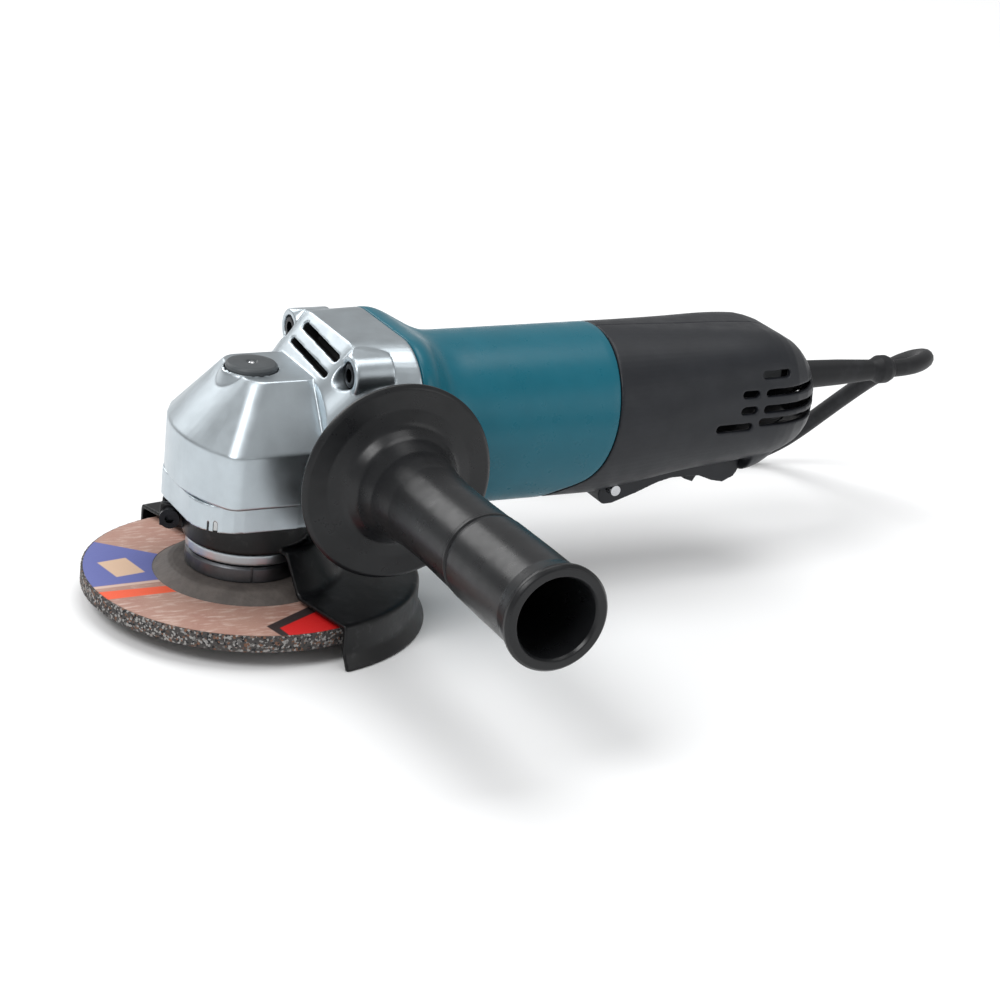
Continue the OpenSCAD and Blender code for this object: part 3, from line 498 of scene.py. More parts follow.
def hub_cloth():
    """The wheel's hub: glass cloth in dark grey-brown resin."""
    f = Finish("wheel hub", (0.075, 0.064, 0.058), 0.62)
    f.tint(f.ramp(f.noise(6, 5), 0.4, 0.75), (0.115, 0.098, 0.088))
    for turn in (0.6, 2.17):
        lay = f.node("ShaderNodeMapping")
        lay.inputs["Rotation"].default_value = (0, 0, turn)
        lay.inputs["Scale"].default_value = (1 / (1.9 * MM),) * 3
        f.link(f.place, lay.inputs["Vector"])
        wave = f.node("ShaderNodeTexWave", Scale=0.32, Distortion=0.6, Detail=1.0)
        f.link(lay.outputs["Vector"], wave.inputs["Vector"])
        f.bump(wave.outputs["Fac"], 0.05, 0.5)
    f.bump(f.noise(0.6, 3), 0.06)
    return f.mat


def label_paper():
    """The wheel's paper label: plain colour fields, with abrasive grain pressing through."""
    f = Finish("wheel label", (0.40, 0.235, 0.185), 0.5)
    split = f.node("ShaderNodeSeparateXYZ")
    f.link(f.place, split.inputs["Vector"])
    x, y = (f.math("DIVIDE", split.outputs[k], MM) for k in ("X", "Y"))

    def side(px, py, degrees, soft=0.25):
        """1 on the left of a line through a point, 0 on its right."""
        a = math.radians(degrees)
        across = f.math("ADD", f.math("MULTIPLY", x, -math.sin(a)), f.math("MULTIPLY", y, math.cos(a)))
        return f.ramp(f.math("SUBTRACT", across, -math.sin(a) * px + math.cos(a) * py), -soft, soft)

    def inside(*lines):
        mask = side(*lines[0])
        for line in lines[1:]:
            mask = f.math("MULTIPLY", mask, side(*line))
        return mask

    f.tint(f.ramp(f.noise(12, 6), 0.42, 0.7), (0.36, 0.19, 0.15))
    f.tint(f.ramp(f.noise(1.6, 5, (0.25, 1, 1)), 0.5, 0.72), (0.58, 0.43, 0.37))
    # Violet field, its pale diamond, orange band and its pale edge, then the red panel on a dark one
    f.tint(inside((-32, 27.5, 139.5), (-32, -1.0, 2.5)), (0.105, 0.125, 0.36))
    f.tint(inside((-34.4, 6.0, 100), (-47, 4.2, 10), (-48.2, 18.4, -80), (-36.8, 20.3, 190)),
           (0.62, 0.43, 0.30))
    f.tint(inside((-32, -12.6, 2.5), (-32, -6.9, 180)), (0.78, 0.10, 0.035))
    f.tint(inside((-32, -1.3, 182.5), (-32, -3.0, 2.5)), (0.60, 0.43, 0.36))
    f.tint(inside((9.5, -36.5, 210), (-10.2, -47.6, 283)), (0.03, 0.02, 0.02))
    f.tint(inside((10.6, -41.0, 209), (-6.2, -50.2, 278)), (0.62, 0.012, 0.012))
    grain, _ = f.cells(0.8)
    f.bump(grain, 0.06, 0.6)
    f.bump(f.noise(3, 4), 0.06)
    return f.mat


def rubber(name, color):
    """Black cable rubber: matt, faintly wrinkled and dusty."""
    f = Finish(name, color, 0.5, Specular_IOR_Level=0.3)
    f.tint(f.ramp(f.noise(7, 5), 0.5, 0.9), tuple(c * 2.4 + 0.004 for c in color))
    f.bump(f.noise(0.6, 3), 0.02)
    return f.mat


def wound_wire():
    """Enamelled copper wire laid in bundles."""
    f = Finish("copper wire", (0.55, 0.20, 0.07), 0.32, 0.9)
    wave = f.node("ShaderNodeTexWave", Scale=1 / (2.2 * MM), Distortion=2.0, Detail=2.0)
    f.link(f.place, wave.inputs["Vector"])
    f.bump(wave.outputs["Fac"], 0.3)
    f.tint(f.ramp(f.noise(3, 3), 0.4, 0.8), (0.30, 0.09, 0.03))
    return f.mat


def laminated():
    """Stacked electrical sheet, seen as fine lines across the motor axis."""
    f = Finish("laminations", (0.34, 0.34, 0.35), 0.42, 0.9)
    wave = f.node("ShaderNodeTexWave", Scale=1 / (3.2 * MM))
    f.link(f.place, wave.inputs["Vector"])
    f.bump(wave.outputs["Fac"], 0.05)
    f.tint(f.ramp(f.noise(5, 4), 0.4, 0.8), (0.20, 0.19, 0.19))
    return f.mat


LOOKS = {
    "cast_aluminium": cast_metal("cast aluminium", (0.50, 0.555, 0.59), 0.36),
    "black_steel": turned_metal("black steel", (0.02, 0.021, 0.024), 0.3),
    "dark_plastic": moulded("dark plastic", (0.05, 0.056, 0.06), 0.4),
    "machined_steel": turned_metal("machined steel", (0.58, 0.59, 0.61), 0.24),
    "spring_steel": turned_metal("spring steel", (0.5, 0.5, 0.52), 0.3),
    "sintered_bronze": turned_metal("sintered bronze", (0.52, 0.33, 0.14), 0.42),
    "gear_steel": turned_metal("gear steel", (0.36, 0.37, 0.39), 0.3),
    "bearing_steel": turned_metal("bearing steel", (0.7, 0.71, 0.73), 0.16),
    "zinc_plate": turned_metal("zinc plate", (0.55, 0.56, 0.56), 0.33),
    "guard_paint": painted_sheet("guard paint", (0.004, 0.0043, 0.005), 0.33),
    "flange_steel": turned_metal("flange steel", (0.13, 0.135, 0.145), 0.38),
    "abrasive": abrasive_grain(),
    "grip_plastic": moulded("grip plastic", (0.008, 0.0085, 0.0095), 0.3, 0.5, 0.008),
    "teal_plastic": moulded("teal plastic", (0.003, 0.105, 0.150), 0.3, 0.6, 0.006, 1.12),
    "cream_plastic": moulded("cream plastic", (0.7, 0.64, 0.5), 0.45),
    "lamination": laminated(),
    "copper_wire": wound_wire(),
    "copper_bars": turned_metal("copper bars", (0.62, 0.26, 0.11), 0.3),
    "soft_rubber": rubber("soft rubber", (0.015, 0.015, 0.016)),
    "brass": turned_metal("brass", (0.62, 0.45, 0.15), 0.28),
    "carbon": rubber("carbon", (0.03, 0.03, 0.032)),
    "charcoal_plastic": moulded("charcoal plastic", (0.0115, 0.013, 0.0165), 0.42, 0.45, 0.014, 1.3),
    "lever_plastic": moulded("lever plastic", (0.012, 0.0135, 0.017), 0.42, 0.45, 0.014, 1.3),
    "switch_red": moulded("switch red", (0.42, 0.03, 0.02), 0.35),
    "cord_rubber": rubber("cord rubber", (0.009, 0.0095, 0.011)),
    "plug_plastic": rubber("plug plastic", (0.018, 0.018, 0.02)),
    "nickel_brass": turned_metal("nickel", (0.66, 0.64, 0.58), 0.2),
}
LABEL = label_paper()
HUB = hub_cloth()
# Near-black plastic for the faces inside the head's slots: painted shade, as if the slots opened into the
# dark inside of the head
SLOT_SHADE = moulded("painted slot shade", (0.006, 0.006, 0.007), 0.7)


def dress_cad_nodes():
    """Every CAD node gets the look of its slot in the record."""
    for part in frame["record"]["subparts"]:
        node = frame["nodes"].get(part["node"])
        if node is None:
            continue
        node.data.materials.clear()
        node.data.materials.append(LOOKS[part["material_slot"]])


def finished(obj, body, slot, *nodes, look=None):
    """Gives a piece its body, its finish and the CAD nodes that it stands for."""
    if obj.type == "MESH":
        obj.data.transform(Matrix.Scale(MM, 4))
    obj.data.materials.clear()
    obj.data.materials.append(look or LOOKS[slot])
    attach(obj, body)
    if nodes:
        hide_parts(*nodes)
    return obj


dress_cad_nodes()


# ---------- the cord ----------

LEAD = [
    (271, 0, 66), (273, 0, 66), (280.2, 1, 66), (287, 3.8, 66), (292.8, 8.2, 65.6), (297.2, 14, 64.4),
    (300, 20.8, 62), (301, 28.5, 58.6), (300.6, 36, 54), (299.4, 43.5, 48), (297.2, 51.5, 40.6),
    (294, 60, 31.5), (290, 68, 22), (285.5, 75, 13), (280, 80.5, 5.5), (272.5, 84.5, 0),
    (264, 86.8, -2.7), (254, 87.6, -3.2), (244, 87.5, -3.2), (234, 87.1, -3.2), (224, 86.6, -3.2),
    (214, 86.1, -3.2), (206, 85.8, -3.2),
]
TAIL = [
    (170, 85.4, 3.2), (160, 85.3, 1.6), (150, 85.3, -0.8), (141, 85.8, -2.4), (132, 87.8, -3.1),
    (124, 91.8, -3.2), (117.5, 98.2, -3.2), (113.6, 106, -3.2), (112, 115, -3.2), (112, 122, -3.2),
]
COIL_TURNS = 4
POINTS_A_TURN = 24


def coil_points():
    """Two flat layers of turns: inward on the floor, then outward on top of them."""
    centre = (coil_low + coil_high) / 2
    outer = (coil_high.x - coil_low.x) / 2 - cord_r
    inner = outer - COIL_TURNS * 2 * cord_r
    out = []
    for k in range(1, 2 * COIL_TURNS * POINTS_A_TURN):
        turns = k / POINTS_A_TURN
        r = outer - 2 * cord_r * turns if turns < COIL_TURNS else inner + 2 * cord_r * (turns - COIL_TURNS)
        a = math.radians(-90 - 360 * turns)
        climb = min(max((turns - COIL_TURNS + 0.12) / 0.28, 0), 1)
        z = floor_z + cord_r + 2 * cord_r * climb * climb * (3 - 2 * climb)
        out.append((centre.x + r * math.cos(a), centre.y + r * math.sin(a), z))
    return out


def curve_through(points, step=1.6):
    """A close run of points on a smooth curve through these."""
    pts = [Vector(p) for p in points]
    out = []
    for k in range(len(pts) - 1):
        p0, p1, p2, p3 = pts[max(k - 1, 0)], pts[k], pts[k + 1], pts[min(k + 2, len(pts) - 1)]
        count = max(2, round((p2 - p1).length / step))
        for i in range(count):
            t = i / count
            out.append(0.5 * (2 * p1 + (p2 - p0) * t + (2 * p0 - 5 * p1 + 4 * p2 - p3) * t ** 2
                              + (3 * p1 - p0 - 3 * p2 + p3) * t ** 3))
    out.append(pts[-1])
    return out


def make_cord():
    """The mains cord, from its guard to the plug, as one spline of its real length."""
    line = curve_through(LEAD + coil_points() + TAIL)
    data = bpy.data.curves.new("mains_cord", "CURVE")
    data.dimensions, data.bevel_depth, data.bevel_resolution = "3D", cord_r * MM, 5
    data.use_fill_caps = True
    spline = data.splines.new("POLY")
    spline.points.add(len(line) - 1)
    for point, place in zip(spline.points, line):
        point.co = (*(place * MM), 1)
    cord = bpy.data.objects.new("mains_cord", data)
    bpy.context.scene.collection.objects.link(cord)
    finished(cord, "housing", "cord_rubber", "cord_tube", "cord_coil", "cord_tail")
    length = sum((b - a).length for a, b in zip(line, line[1:])) * MM
    return cord, length


def make_cord_tie():
    """A hook-and-loop strap round the coil's bundle."""
    outer = (coil_high.x - coil_low.x) / 2
    bundle = (COIL_TURNS + 1) * 2 * cord_r
    high = 4 * cord_r
    band = round_rect(bundle + 1.4, high + 1.2, 3.2, 8)
    slim = round_rect(bundle + 0.2, high + 0.2, 2.7, 8)
    edge = 4.5
    rings = [[(u, along, v) for u, v in ring]
             for along, ring in ((-edge, slim), (-edge, band), (edge, band), (edge, slim))]
    centre = (coil_low + coil_high) / 2
    at = math.radians(28)
    mid = outer - bundle / 2
    place = (Matrix.Translation((centre.x + mid * math.cos(at), centre.y + mid * math.sin(at),
                                 floor_z + high / 2 + 0.6)) @ Matrix.Rotation(at, 4, "Z"))
    return finished(skin("cord_tie", rings, True, place), "housing", "soft_rubber")


def make_plug():
    """A plain two-pin plug with ribs where a hand pulls."""
    body = copy_of("plug_body", "plug_grip")
    low, high = mm_box("plug_body")
    mid = (low.x + high.x) / 2
    for k in range(4):
        y = low.y + 13.5 + 3.2 * k
        for s in (-1, 1):
            combine(body, [rod("rib", 0.8, -20, 40, Matrix.Translation((mid + s * 10.4, y, 0)), 16)])
    soften(body, 0.45, 5)
    return finished(body, "housing", "plug_plastic", "plug_body")


cord, cord_length = make_cord()
tie = make_cord_tie()
plug = make_plug()


# ---------- wheel set ----------

def make_wheel():
    """A depressed-centre wheel with a rough edge, and the label on its back."""
    bore = 11.1
    low, seat = wheel_low.z, wheel_high.z
    outline = filleted([
        (bore, nut_high.z + 1.5), (25, nut_high.z - 2.3), (29, low), (wheel_r, low), (wheel_r, rim_top),
        (hub_r + 1, rim_top), (hub_r - 4, seat - 0.3), (hub_r - 6, seat), (bore, seat)
    ], [0, 1.5, 2, 0.5, 0.5, 1.5, 2.5, 1, 0], 6)
    fine = []
    for (r0, h0), (r1, h1) in zip(outline, outline[1:] + outline[:1]):
        parts = max(1, round(math.hypot(r1 - r0, h1 - h0) / 0.7))
        fine += [(r0 + (r1 - r0) * k / parts, h0 + (h1 - h0) * k / parts) for k in range(parts)]
    wheel = lathe("grinding_disc", fine, 420)
    for v in wheel.data.vertices:
        r = math.hypot(v.co.x, v.co.y)
        if r > wheel_r - 0.8:
            a = math.atan2(v.co.y, v.co.x)
            rough = math.sin(a * 173 + v.co.z * 9) * math.sin(a * 97.3 + v.co.z * 5.2 + 1.3)
            push = 1 - (0.16 + 0.14 * rough) / r
            v.co.x, v.co.y = v.co.x * push, v.co.y * push
    finished(wheel, "spindle_set", "abrasive", "grinding_wheel")
    wheel.data.materials.append(HUB)
    for face in wheel.data.polygons:
        mid = face.center / MM
        if math.hypot(mid.x, mid.y) < hub_r + 1.4 and face.normal.z > 0.1:
            face.material_index = 1
    label_in, label_out = hub_r + 1.2, wheel_r - 0.9
    label = lathe("wheel_label", filleted([
        (label_in, rim_top - 0.1), (label_out, rim_top - 0.1), (label_out, rim_top + 0.18),
        (label_in, rim_top + 0.18)
    ], 0.05, 2), 240)
    finished(label, "spindle_set", "abrasive", look=LABEL)


def make_inner_flange():
    """The flange above the wheel, with two spanner notches."""
    low, high, r = wheel_high.z + 0.05, flange_high.z, flange_high.x
    bore = 7.1
    flange = lathe("wheel_flange", filleted([
        (bore, low), (r - 0.2, low), (r, low + 0.4), (r, high - 0.9), (r - 0.9, high), (bore, high)
    ], [0, 0.3, 0.3, 0.5, 0.5, 0]), 180)
    cuts = []
    for a in (-104, 76):
        place = Matrix.Rotation(math.radians(a), 4, "Z")
        cuts.append(block("notch", (r - 0.9, -0.5, low - 1), (r + 2, 0.5, high + 1), place))
    combine(flange, cuts)
    tidy(flange)
    finished(flange, "spindle_set", "flange_steel", "inner_flange")


def make_lock_nut():
    """The nut under the wheel, with its four spanner holes."""
    nut = soften(copy_of("lock_nut", "wheel_nut"), 0.35, 2)
    finished(nut, "spindle_set", "black_steel", "lock_nut")


make_wheel()
make_inner_flange()
make_lock_nut()


# ---------- guard ----------

def make_guard():
    """Pressed sheet: clamp band, shoulder, plate and a skirt that flares at its lip."""
    band_low, band_high = 20.8, guard_high.z
    band_in, band_out = 19.8, 22.3
    skirt_out = guard_high.x - 3.2
    skirt_in, plate = skirt_out - 1.6, 9.3
    sheet = lathe("guard_shell", filleted([
        (band_out - 1.2, band_low), (25.2, band_low), (34, plate - 1.6), (skirt_in, plate - 1.6),
        (skirt_in, -1.2), (skirt_out + 1.4, floor_z + 0.1), (skirt_out + 3.1, floor_z + 0.1),
        (skirt_out, -0.8), (skirt_out, plate), (34.8, plate), (26, band_low + 1.9),
        (band_out - 1.2, band_low + 1.9)
    ], [0, 1.5, 3, 0.8, 3, 0.5, 0.5, 4.5, 2.2, 4, 2.5, 0], 6), 200, -78, 183)
    band = lathe("band", filleted([
        (band_in, band_low), (band_out, band_low), (band_out, band_high), (band_in, band_high)
    ], 0.5, 3), 160)
    turn = Matrix.Rotation(math.radians(152), 4, "Z")
    ears = [block("ear", (band_out - 1, s * 3 - 1.5, band_low + 1),
                  (band_out + 8, s * 3 + 1.5, band_high - 1), turn) for s in (-1, 1)]
    combine(sheet, [band, *ears], "UNION")
    hole = turn @ Matrix.Translation((band_out + 4, 0, (band_low + band_high) / 2)) @ Matrix.Rotation(
        math.pi / 2, 4, "X")
    gap = block("gap", (band_in - 3, -1.5, band_low - 1), (band_out + 12, 1.5, band_high + 1), turn)
    combine(sheet, [gap, rod("hole", 2.1, -10, 10, hole)])
    soften(sheet, 0.5, 3)
    finished(sheet, "guard", "guard_paint", "wheel_guard")


make_guard()


# ---------- head ----------

def head_ring(z, inset=0.0, spread=0.8, r=6.5):
    """The head's outline at a height: a bowed front with tight corners, drawn in by the inset."""
    front, half, back = 28.5 - inset, 31 - spread * inset, joint_x - 12 - 0.6 * inset
    bow = 52
    cy = half - r
    cx = bow - front - math.sqrt((bow - r) ** 2 - cy ** 2)
    lean = math.atan2(cy, bow - front - cx)
    out = []
    for k in range(9):
        a = math.radians(90) + (math.radians(90) - lean) * k / 8
        out.append((cx + r * math.cos(a), cy + r * math.sin(a)))
    for k in range(1, 14):
        y = cy * (1 - k / 7)
        out.append((bow - front - math.sqrt(bow ** 2 - y ** 2), y))
    out += [(x, -y) for x, y in reversed(out[:9])]
    out += [(back - 12, -half), (back - 3.5, -half + 3.5), (back, -half + 12),
            (back, half - 12), (back - 3.5, half - 3.5), (back - 12, half)]
    return [(x, y, z) for x, y in out]


def cross_ring(x, w, h, r, dz=0):
    return [(x, u, motor_z + dz + v) for u, v in round_rect(w, h, r, 14)]


# The sloping face behind the deck: the place of its foot, and its angle in degrees
SLOPE_X, SLOPE_Z, SLOPE = 15, 82, 52


def on_slope(up, y):
    """A place on the sloping face, with Z out of the face."""
    turn = Matrix.Rotation(-math.radians(SLOPE), 4, "Y")
    return Matrix.Translation((SLOPE_X + up, y, SLOPE_Z + up * math.tan(math.radians(SLOPE)))) @ turn


def make_gear_housing():
    """Cast head: upright walls to a crease, a domed roof, a sloping neck and the square flange."""
    low = box_high.z
    # Height and inset of the walls and the roof, from the lower edge up to the deck.
    levels = [
        (low + 0.02, 0.7), (low + 0.9, 0), (61.0, 0), (61.7, 0.5), (62.3, 1.7), (65, 4.7), (68, 7.9),
        (71, 11), (75, 14.6), (79, 17), (81.8, 18.3), (82.8, 19.2)
    ]
    head = hull("gear_case", [p for z, inset in levels for p in head_ring(z, inset)])
    at_cap = Matrix.Translation((cap_x, 0, 0))
    seat = lathe("seat", filleted([
        (0.01, 66), (cap_r + 5, 66), (cap_r + 3.4, 76), (cap_r + 1.5, 82.3), (cap_r + 0.9, 83), (0.01, 83)
    ], [0, 0, 4, 0.8, 0.3, 0]), 64, place=at_cap)
    combine(head, [seat], "UNION")
    rear = joint_x - 0.05
    wide = flange_w
    neck = hull("neck", [
        *cross_ring(rear, wide - 0.6, wide - 0.6, 20), *cross_ring(rear - 0.8, wide, wide, 20),
        *cross_ring(rear - 17, wide - 2.2, wide - 2.2, 20),
        *cross_ring(rear - 20, wide - 3.4, wide - 3.4, 20),
        *cross_ring(rear - 21.4, wide - 6.6, wide - 10.6, 18, 5.3),
        *cross_ring(SLOPE_X, wide - 14, 2 * (SLOPE_Z - motor_z), 16)
    ])
    bosses = []
    for s in (-1, 1):
        ring = circle(7.2, 40)
        face = [(joint_x - 25.2, s * screw_side + u * 0.93, motor_z + screw_up + v * 0.93) for u, v in ring]
        root = [(joint_x - 24.4 + 14 * k, s * screw_side + u, motor_z + screw_up + v)
                for u, v in ring for k in (0, 1)]
        web = [(joint_x - 22 + k, s * (22 - k / 3), motor_z + 36.4) for k in (0, 6)]
        bosses.append(hull("boss", face + root + web))
        place = Matrix.Translation((side_x, s * (wide / 2 - 1.5), side_z)) @ Matrix.Rotation(
            -s * math.pi / 2, 4, "X")
        bosses.append(rod("pad", 11, 0, 2.2, place))
    combine(head, [neck, *bosses], "UNION")
    cuts = [rod("cap_seat", cap_r + 0.35, cap_low.z - 4, 96, at_cap)]
    for s in (-1, 1):
        for up in (-1, 1):
            place = ON_MOTOR @ Matrix.Translation((s * screw_side, up * screw_up, 0))
            cuts.append(rod("bore", 4.8, joint_x - 50, joint_x - 20.5, place, 40))
    for s in (-1, 1):
        place = Matrix.Translation((side_x, s * 20, side_z)) @ Matrix.Rotation(-s * math.pi / 2, 4, "X")
        cuts.append(rod("socket", 4, 3.5, 30, place, 40))
    for up, wide_slot, length in ((3.4, 2.2, 35), (7.6, 3.0, 34)):
        ring = round_rect(wide_slot, length, wide_slot / 2 - 0.02, 6)
        place = on_slope(up, -1.5) @ Matrix.Rotation(math.radians(-4), 4, "Z")
        cuts.append(extruded("slot", ring, -9, 9, place))
    cuts.append(rod("cavity", 25, low - 5, low + 22, None, 64))
    combine(head, cuts)
    soften(head, 0.5, 4)
    finished(head, "housing", "cast_aluminium", "gear_housing")
    # The slot walls and floors take the near-black plastic: painted shade, since the slots end in solid
    # casting instead of opening into the head
    head.data.materials.append(SLOT_SHADE)
    under = on_slope(5.5, 0).inverted()
    for face in head.data.polygons:
        mid = under @ (face.center / MM)
        if abs(mid.x) < 6.5 and abs(mid.y) < 19 and -10 < mid.z < -0.9:
            face.material_index = 1


def make_lock_cap():
    """The shaft lock's button: a low dome with a rim and a small steel rivet."""
    r, top = cap_r, cap_high.z
    place = Matrix.Translation((cap_x, 0, 0))
    cap = lathe("lock_button", filleted([
        (0.01, cap_low.z), (r, cap_low.z), (r, top - 1.1), (r - 0.7, top - 0.35), (r - 2.4, top - 0.1),
        (2.2, top), (1.7, top - 0.5), (0.01, top - 0.5)
    ], [0, 0.2, 0.5, 0.5, 1, 0.3, 0.2, 0], 5), 120, place=place)
    finished(cap, "shaft_lock", "dark_plastic", "shaft_lock_cap")
    rivet = lathe("button_rivet", filleted([
        (0.01, top - 2), (1.2, top - 2), (1.2, top - 0.45), (0.7, top - 0.12), (0.01, top - 0.05)
    ], [0, 0, 0.2, 0.4, 0], 4), 48, place=place)
    finished(rivet, "shaft_lock", "machined_steel")


def make_housing_screws():
    """Four socket screws of the gear housing."""
    screws = []
    for s in (-1, 1):
        for up in (-1, 1):
            place = (ON_MOTOR @ Matrix.Translation((s * screw_side, up * screw_up, joint_x - 20.52))
                     @ Matrix.Rotation(math.pi, 4, "X"))
            screw = lathe("screw", filleted([
                (0.01, -26), (2.05, -26), (2.05, 0), (4.2, 0), (4.2, 4.4), (2.4, 4.5), (2.2, 2.4), (0.01, 2.0)
            ], [0, 0.3, 0, 0.2, 0.6, 0.2, 0.2, 0], 4), 64, place=place)
            screws.append(screw)
    screws = joined("case_screws", screws)
    tidy(screws)
    finished(screws, "housing", "black_steel", "housing_screws")


def make_bearing_box():
    """The spindle's bearing box under the head."""
    case = soften(copy_of("bearing_box", "spindle_case"), 0.5, 3)
    finished(case, "housing", "cast_aluminium", "bearing_box")


make_gear_housing()
make_lock_cap()
make_housing_screws()
make_bearing_box()


# ---------- motor housing and handle ----------

# The rear edge of the motor housing, seen from the side: height and distance along the motor
REAR_EDGE = [
    (27, 108), (31, 110.5), (35, 114), (40, 122), (46, 126), (55, 128.6), (65, 130.5), (80, 132.5),
    (91.5, 134)
]


def rear_edge(z):
    return smooth_between(REAR_EDGE, z)[0]


def make_motor_housing():
    """A teal tube that flares into the square flange; its rear edge sweeps forward underneath."""
    rows = [
        (joint_x + 0.25, flange_w, 20), (joint_x + 3, flange_w - 0.2, 20), (joint_x + 6, flange_w - 1.6, 21),
        (joint_x + 9.5, flange_w - 4.6, 24), (joint_x + 13, flange_w - 7.6, 28),
        (joint_x + 17, 2 * barrel_r + 0.6, 31.2), (joint_x + 22, 2 * barrel_r, 31.98),
        (joint_x + 90, 2 * barrel_r, 31.98)
    ]
    places = [joint_x + 0.25 + k for k in (0, 1.5, 3, 4.5, 6, 7.5, 9, 10.5, 12, 13.5, 15, 16.5, 18, 20, 22)]
    rings = [[(joint_x + 0.02, u * 0.994, motor_z + v * 0.994)
              for u, v in round_rect(flange_w, flange_w, 20)]]
    for x in places:
        w, r = smooth_between(rows, x)
        rings.append([(x, u, motor_z + v) for u, v in round_rect(w, w, r)])
    barrel = round_rect(2 * barrel_r, 2 * barrel_r, 31.99)
    start = places[-1]
    for k in range(1, 25):
        t = k / 24
        rings.append([(start + (rear_edge(motor_z + v) - 0.9 - start) * t, u, motor_z + v)
                      for u, v in barrel])
    for back, r in ((0.25, 31.8), (0.0, 31.3), (0.0, 29.5)):
        scale = r / barrel_r
        rings.append([(rear_edge(motor_z + v) - back, u * scale, motor_z + v * scale) for u, v in barrel])
    inner = 29.4 / barrel_r
    rings.append([(joint_x + 0.02, u * inner, motor_z + v * inner) for u, v in barrel])
    housing = skin("motor_case", rings, True)
    tidy(housing, 50)
    finished(housing, "housing", "teal_plastic", "motor_housing")


# Sections of the handle and of the foot under it: place, width, height, corner and rise
HANDLE = [
    (131, 64, 64, 31.98, 0), (150, 62, 60.4, 29, 1.3), (168, 60, 55.8, 25, 3.0), (190, 58, 52, 20.5, 4.4),
    (203, 57, 49.6, 19.5, 4.8), (211, 53.6, 45.6, 18.5, 4.2), (217, 47.6, 40, 17, 3.4),
    (222, 38.6, 32.6, 14.5, 2.5), (225.6, 27.5, 24, 11, 1.7), (227.7, 15, 15, 7, 1.2)
]
FOOT = [
    (197.2, 42, 27.2, 12, -12.4), (203, 42, 27.2, 12, -10.8), (212, 41, 26, 12, -5.4), (220.8, 38, 24, 11, -1)
]


def handle_ring(rows, x, inset):
    w, h, r, dz = smooth_between(rows, x)
    w, h, r = max(w - 2 * inset, 1), max(h - 2 * inset, 1), max(r - inset, 0.4)
    return [(x, u, motor_z + dz + v) for u, v in round_rect(w, h, r)]


def handle_solid(inset):
    """The handle's outer form, or its inside when drawn in by the wall."""
    rings = []
    reach = 60 if inset else 0  # the inside runs on through the front edge, to leave it open
    front, blend_x, length = HANDLE[0][0], 142, 86
    outer = handle_ring(HANDLE, front, inset)
    for k in range(8):
        ring = []
        for i, (_, _, z) in enumerate(outer):
            start = rear_edge(z) + 0.35 - reach
            x = start + (blend_x - start) * k / 8
            ring.append((x, *handle_ring(HANDLE, max(x, front), inset)[i][1:]))
        rings.append(ring)
    places = [blend_x + 4 * k for k in range(18)] + [216, 218.5, 221, 223, 224.6, 226, 227, 227.7]
    rings += [handle_ring(HANDLE, x - inset * (x - blend_x) / length, inset) for x in places]
    main = skin("handle_form", rings)
    foot = skin("foot", [handle_ring(FOOT, x, inset) for x in
                         (197.4 + inset, 200, 203, 206, 209, 212, 215, 218, 220.8 - inset)])
    return combine(main, [foot], "UNION")


# Vent slots: front end, rear end and height; one that ends past the handle notches its outline
VENTS = [
    (193, 205.5, 77), (184, 191.5, 70.4), (194.4, 232, 70.4), (184, 191.5, 64), (194.2, 232, 64),
    (173.8, 190, 57.6), (192.6, 232, 59)
]


def make_handle():
    """Two shells with vents, screw pockets and the opening for the paddle."""
    wall = 2.6
    whole = handle_solid(0)
    combine(whole, [handle_solid(wall)])
    opening = block("opening", (100, -13.8, 0), (197.3, 13.8, motor_z - 10))
    gland = rod("gland", 6.3, handle_end - 12, handle_end + 20, ON_CORD)
    cuts = [opening, gland]
    for front, rear, z in VENTS:
        for s in (-1, 1):
            ring = round_rect(rear - front, 3.0, 1.45, 5)
            place = Matrix.Translation(((front + rear) / 2, s * 26, z)) @ Matrix.Rotation(math.pi / 2, 4, "X")
            cuts.append(extruded("vent", ring, -10.5, 10.5, place))
    combine(whole, cuts)
    for name, s, node in (("handle_shell_left", -1, "handle_left"),
                          ("handle_shell_right", 1, "handle_right")):
        half = whole.copy()
        half.name = name
        half.data = whole.data.copy()
        half.data.name = name
        bpy.context.scene.collection.objects.link(half)
        across = (0, 100) if s < 0 else (-100, 0)
        combine(half, [block("away", (50, across[0], -50), (300, across[1], 150))])
        if s > 0:
            pockets = []
            for x, z in ((145.5, 79.8), (175, 79.8), (198, 77.8), (218.5, 74.8)):
                place = Matrix.Translation((x, 0, z)) @ Matrix.Rotation(-math.pi / 2, 4, "X")
                pockets.append(rod("pocket", 3.3, 8, 60, place, 32))
            combine(half, pockets)
        soften(half, 0.55, 3)
        finished(half, "housing", "charcoal_plastic", node)
    remove(whole)


def make_paddle():
    """The paddle and its lock-off lever."""
    finished(soften(copy_of("paddle", "paddle_bar"), 0.5, 5), "paddle", "charcoal_plastic", "paddle")
    finished(soften(copy_of("lock_off_lever", "lock_lever"), 0.35, 4), "lock_off", "lever_plastic",
             "lock_off_lever")


def make_cord_guard():
    """Soft sleeve that tapers to the cord and ends in a bead."""
    start, end = handle_end - 0.2, gland_high.x
    outline = filleted([
        (cord_r + 0.03, start - 5), (6.2, start - 5), (6.2, start - 2.6), (5.6, start + 0.2),
        (5.0, start + 18), (4.1, end - 10), (4.4, end - 8.8), (5.6, end - 6.4), (5.55, end - 3.0),
        (4.6, end - 0.9), (3.9, end), (cord_r + 0.03, end)
    ], [0, 0.3, 0.8, 1, 6, 2, 2, 2.2, 2.2, 1.4, 0.3, 0], 6)
    finished(lathe("cord_sleeve", outline, 96, place=ON_CORD), "housing", "cord_rubber", "cord_guard")


make_motor_housing()
make_handle()
make_paddle()
make_cord_guard()


# ---------- side handle ----------

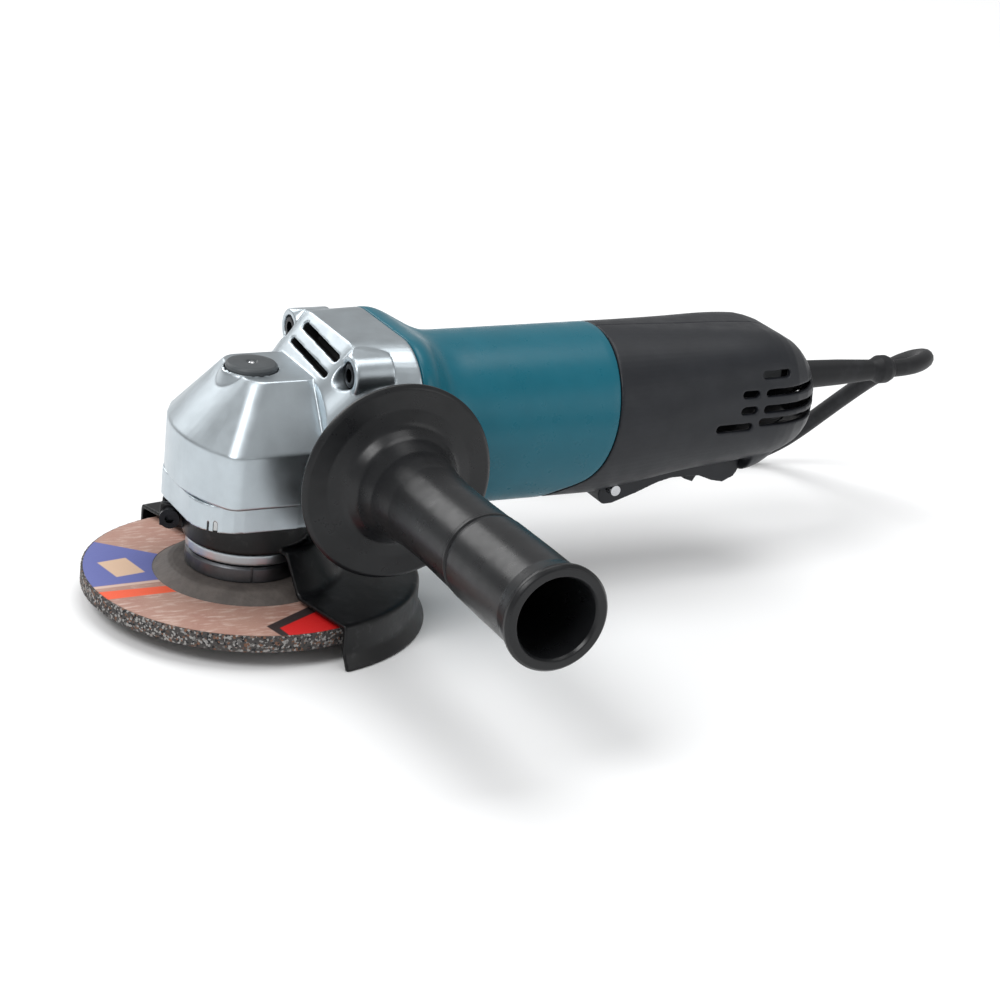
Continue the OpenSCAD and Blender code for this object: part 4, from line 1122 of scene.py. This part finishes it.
def make_side_handle():
    """Grip with a dished hand guard, a grooved waist and a flared open end."""
    end, socket_r, hollow_r, cap_from, cap_to = grip_l, 4.05, 13.6, 22, 66
    outline = filleted([
        (socket_r, 0), (13, 0), (15, 1.6), (disc_r - 1.2, 8.8), (disc_r, 9.7), (disc_r, 10.7),
        (disc_r - 1.3, 11.8), (27, 12.1), (21.5, 13.6), (18.4, 17.6), (16.4, 25), (15.1, 36), (14.6, 50),
        (15.15, 77.4), (15.3, 77.9), (15.3, 79), (14.7, 79.4), (14.7, 80.6), (15.4, 81), (15.6, 82.2),
        (15.9, 100), (16.1, end - 10), (17.6, end - 3.4), (18, end - 2.4), (18, end - 1.2), (17, end),
        (14.4, end), (hollow_r, end - 1.2), (hollow_r, cap_to), (0.01, cap_to), (0.01, cap_from),
        (socket_r, cap_from)
    ], [0, 1, 1.5, 1.2, 0.6, 0.6, 2, 6, 5, 6, 10, 12, 10, 0.3, 0.3, 0.3, 0.25, 0.25, 0.3, 1, 5, 5, 1,
        0.6, 0.7, 0.9, 0.7, 0.8, 1.5, 0, 0, 0], 7)
    grip = lathe("side_grip", outline, 180, place=ON_SIDE)
    finished(grip, "housing", "grip_plastic", "side_handle_grip")


make_side_handle()


# ---------- studio ----------

def make_studio():
    """A plain pale floor, four round area lamps and a white surround."""
    far, level = 6000, floor_z - 0.05
    corners = [(-far, -far, level), (far, -far, level), (far, far, level), (-far, far, level)]
    floor = new_piece("floor", corners, [(0, 1, 2, 3)])
    paint = Finish("floor paint", (0.93, 0.935, 0.94), 0.7)
    paint.bump(paint.noise(40, 2), 0.02)
    floor.data.transform(Matrix.Scale(MM, 4))
    floor.data.materials.append(paint.mat)
    world = bpy.data.worlds.new("surround")
    bpy.context.scene.world = world
    world.use_nodes = True
    sky = world.node_tree.nodes["Background"]
    sky.inputs["Color"].default_value = (1.0, 1.0, 1.0, 1.0)
    sky.inputs["Strength"].default_value = 0.45
    # Name, place and width in metres, and power in watts
    lamps = [
        ("key", (-2.1, -1.0, 2.7), 1.6, 58), ("top", (0.5, 0.3, 3.3), 2.4, 48),
        ("back", (-0.8, 3.0, 1.9), 2.0, 34), ("fill", (2.2, -2.2, 1.2), 1.8, 10)
    ]
    target = Vector((0.06, 0, 0.04))
    for name, place, size, power in lamps:
        data = bpy.data.lights.new(name, "AREA")
        data.shape, data.size, data.energy = "DISK", size, power
        lamp = bpy.data.objects.new(name, data)
        bpy.context.scene.collection.objects.link(lamp)
        lamp.location = place
        aim = target - Vector(place)
        lamp.rotation_mode = "QUATERNION"
        lamp.rotation_quaternion = aim.to_track_quat("-Z", "Y")
    bpy.context.scene.view_settings.view_transform = "Standard"


make_studio()
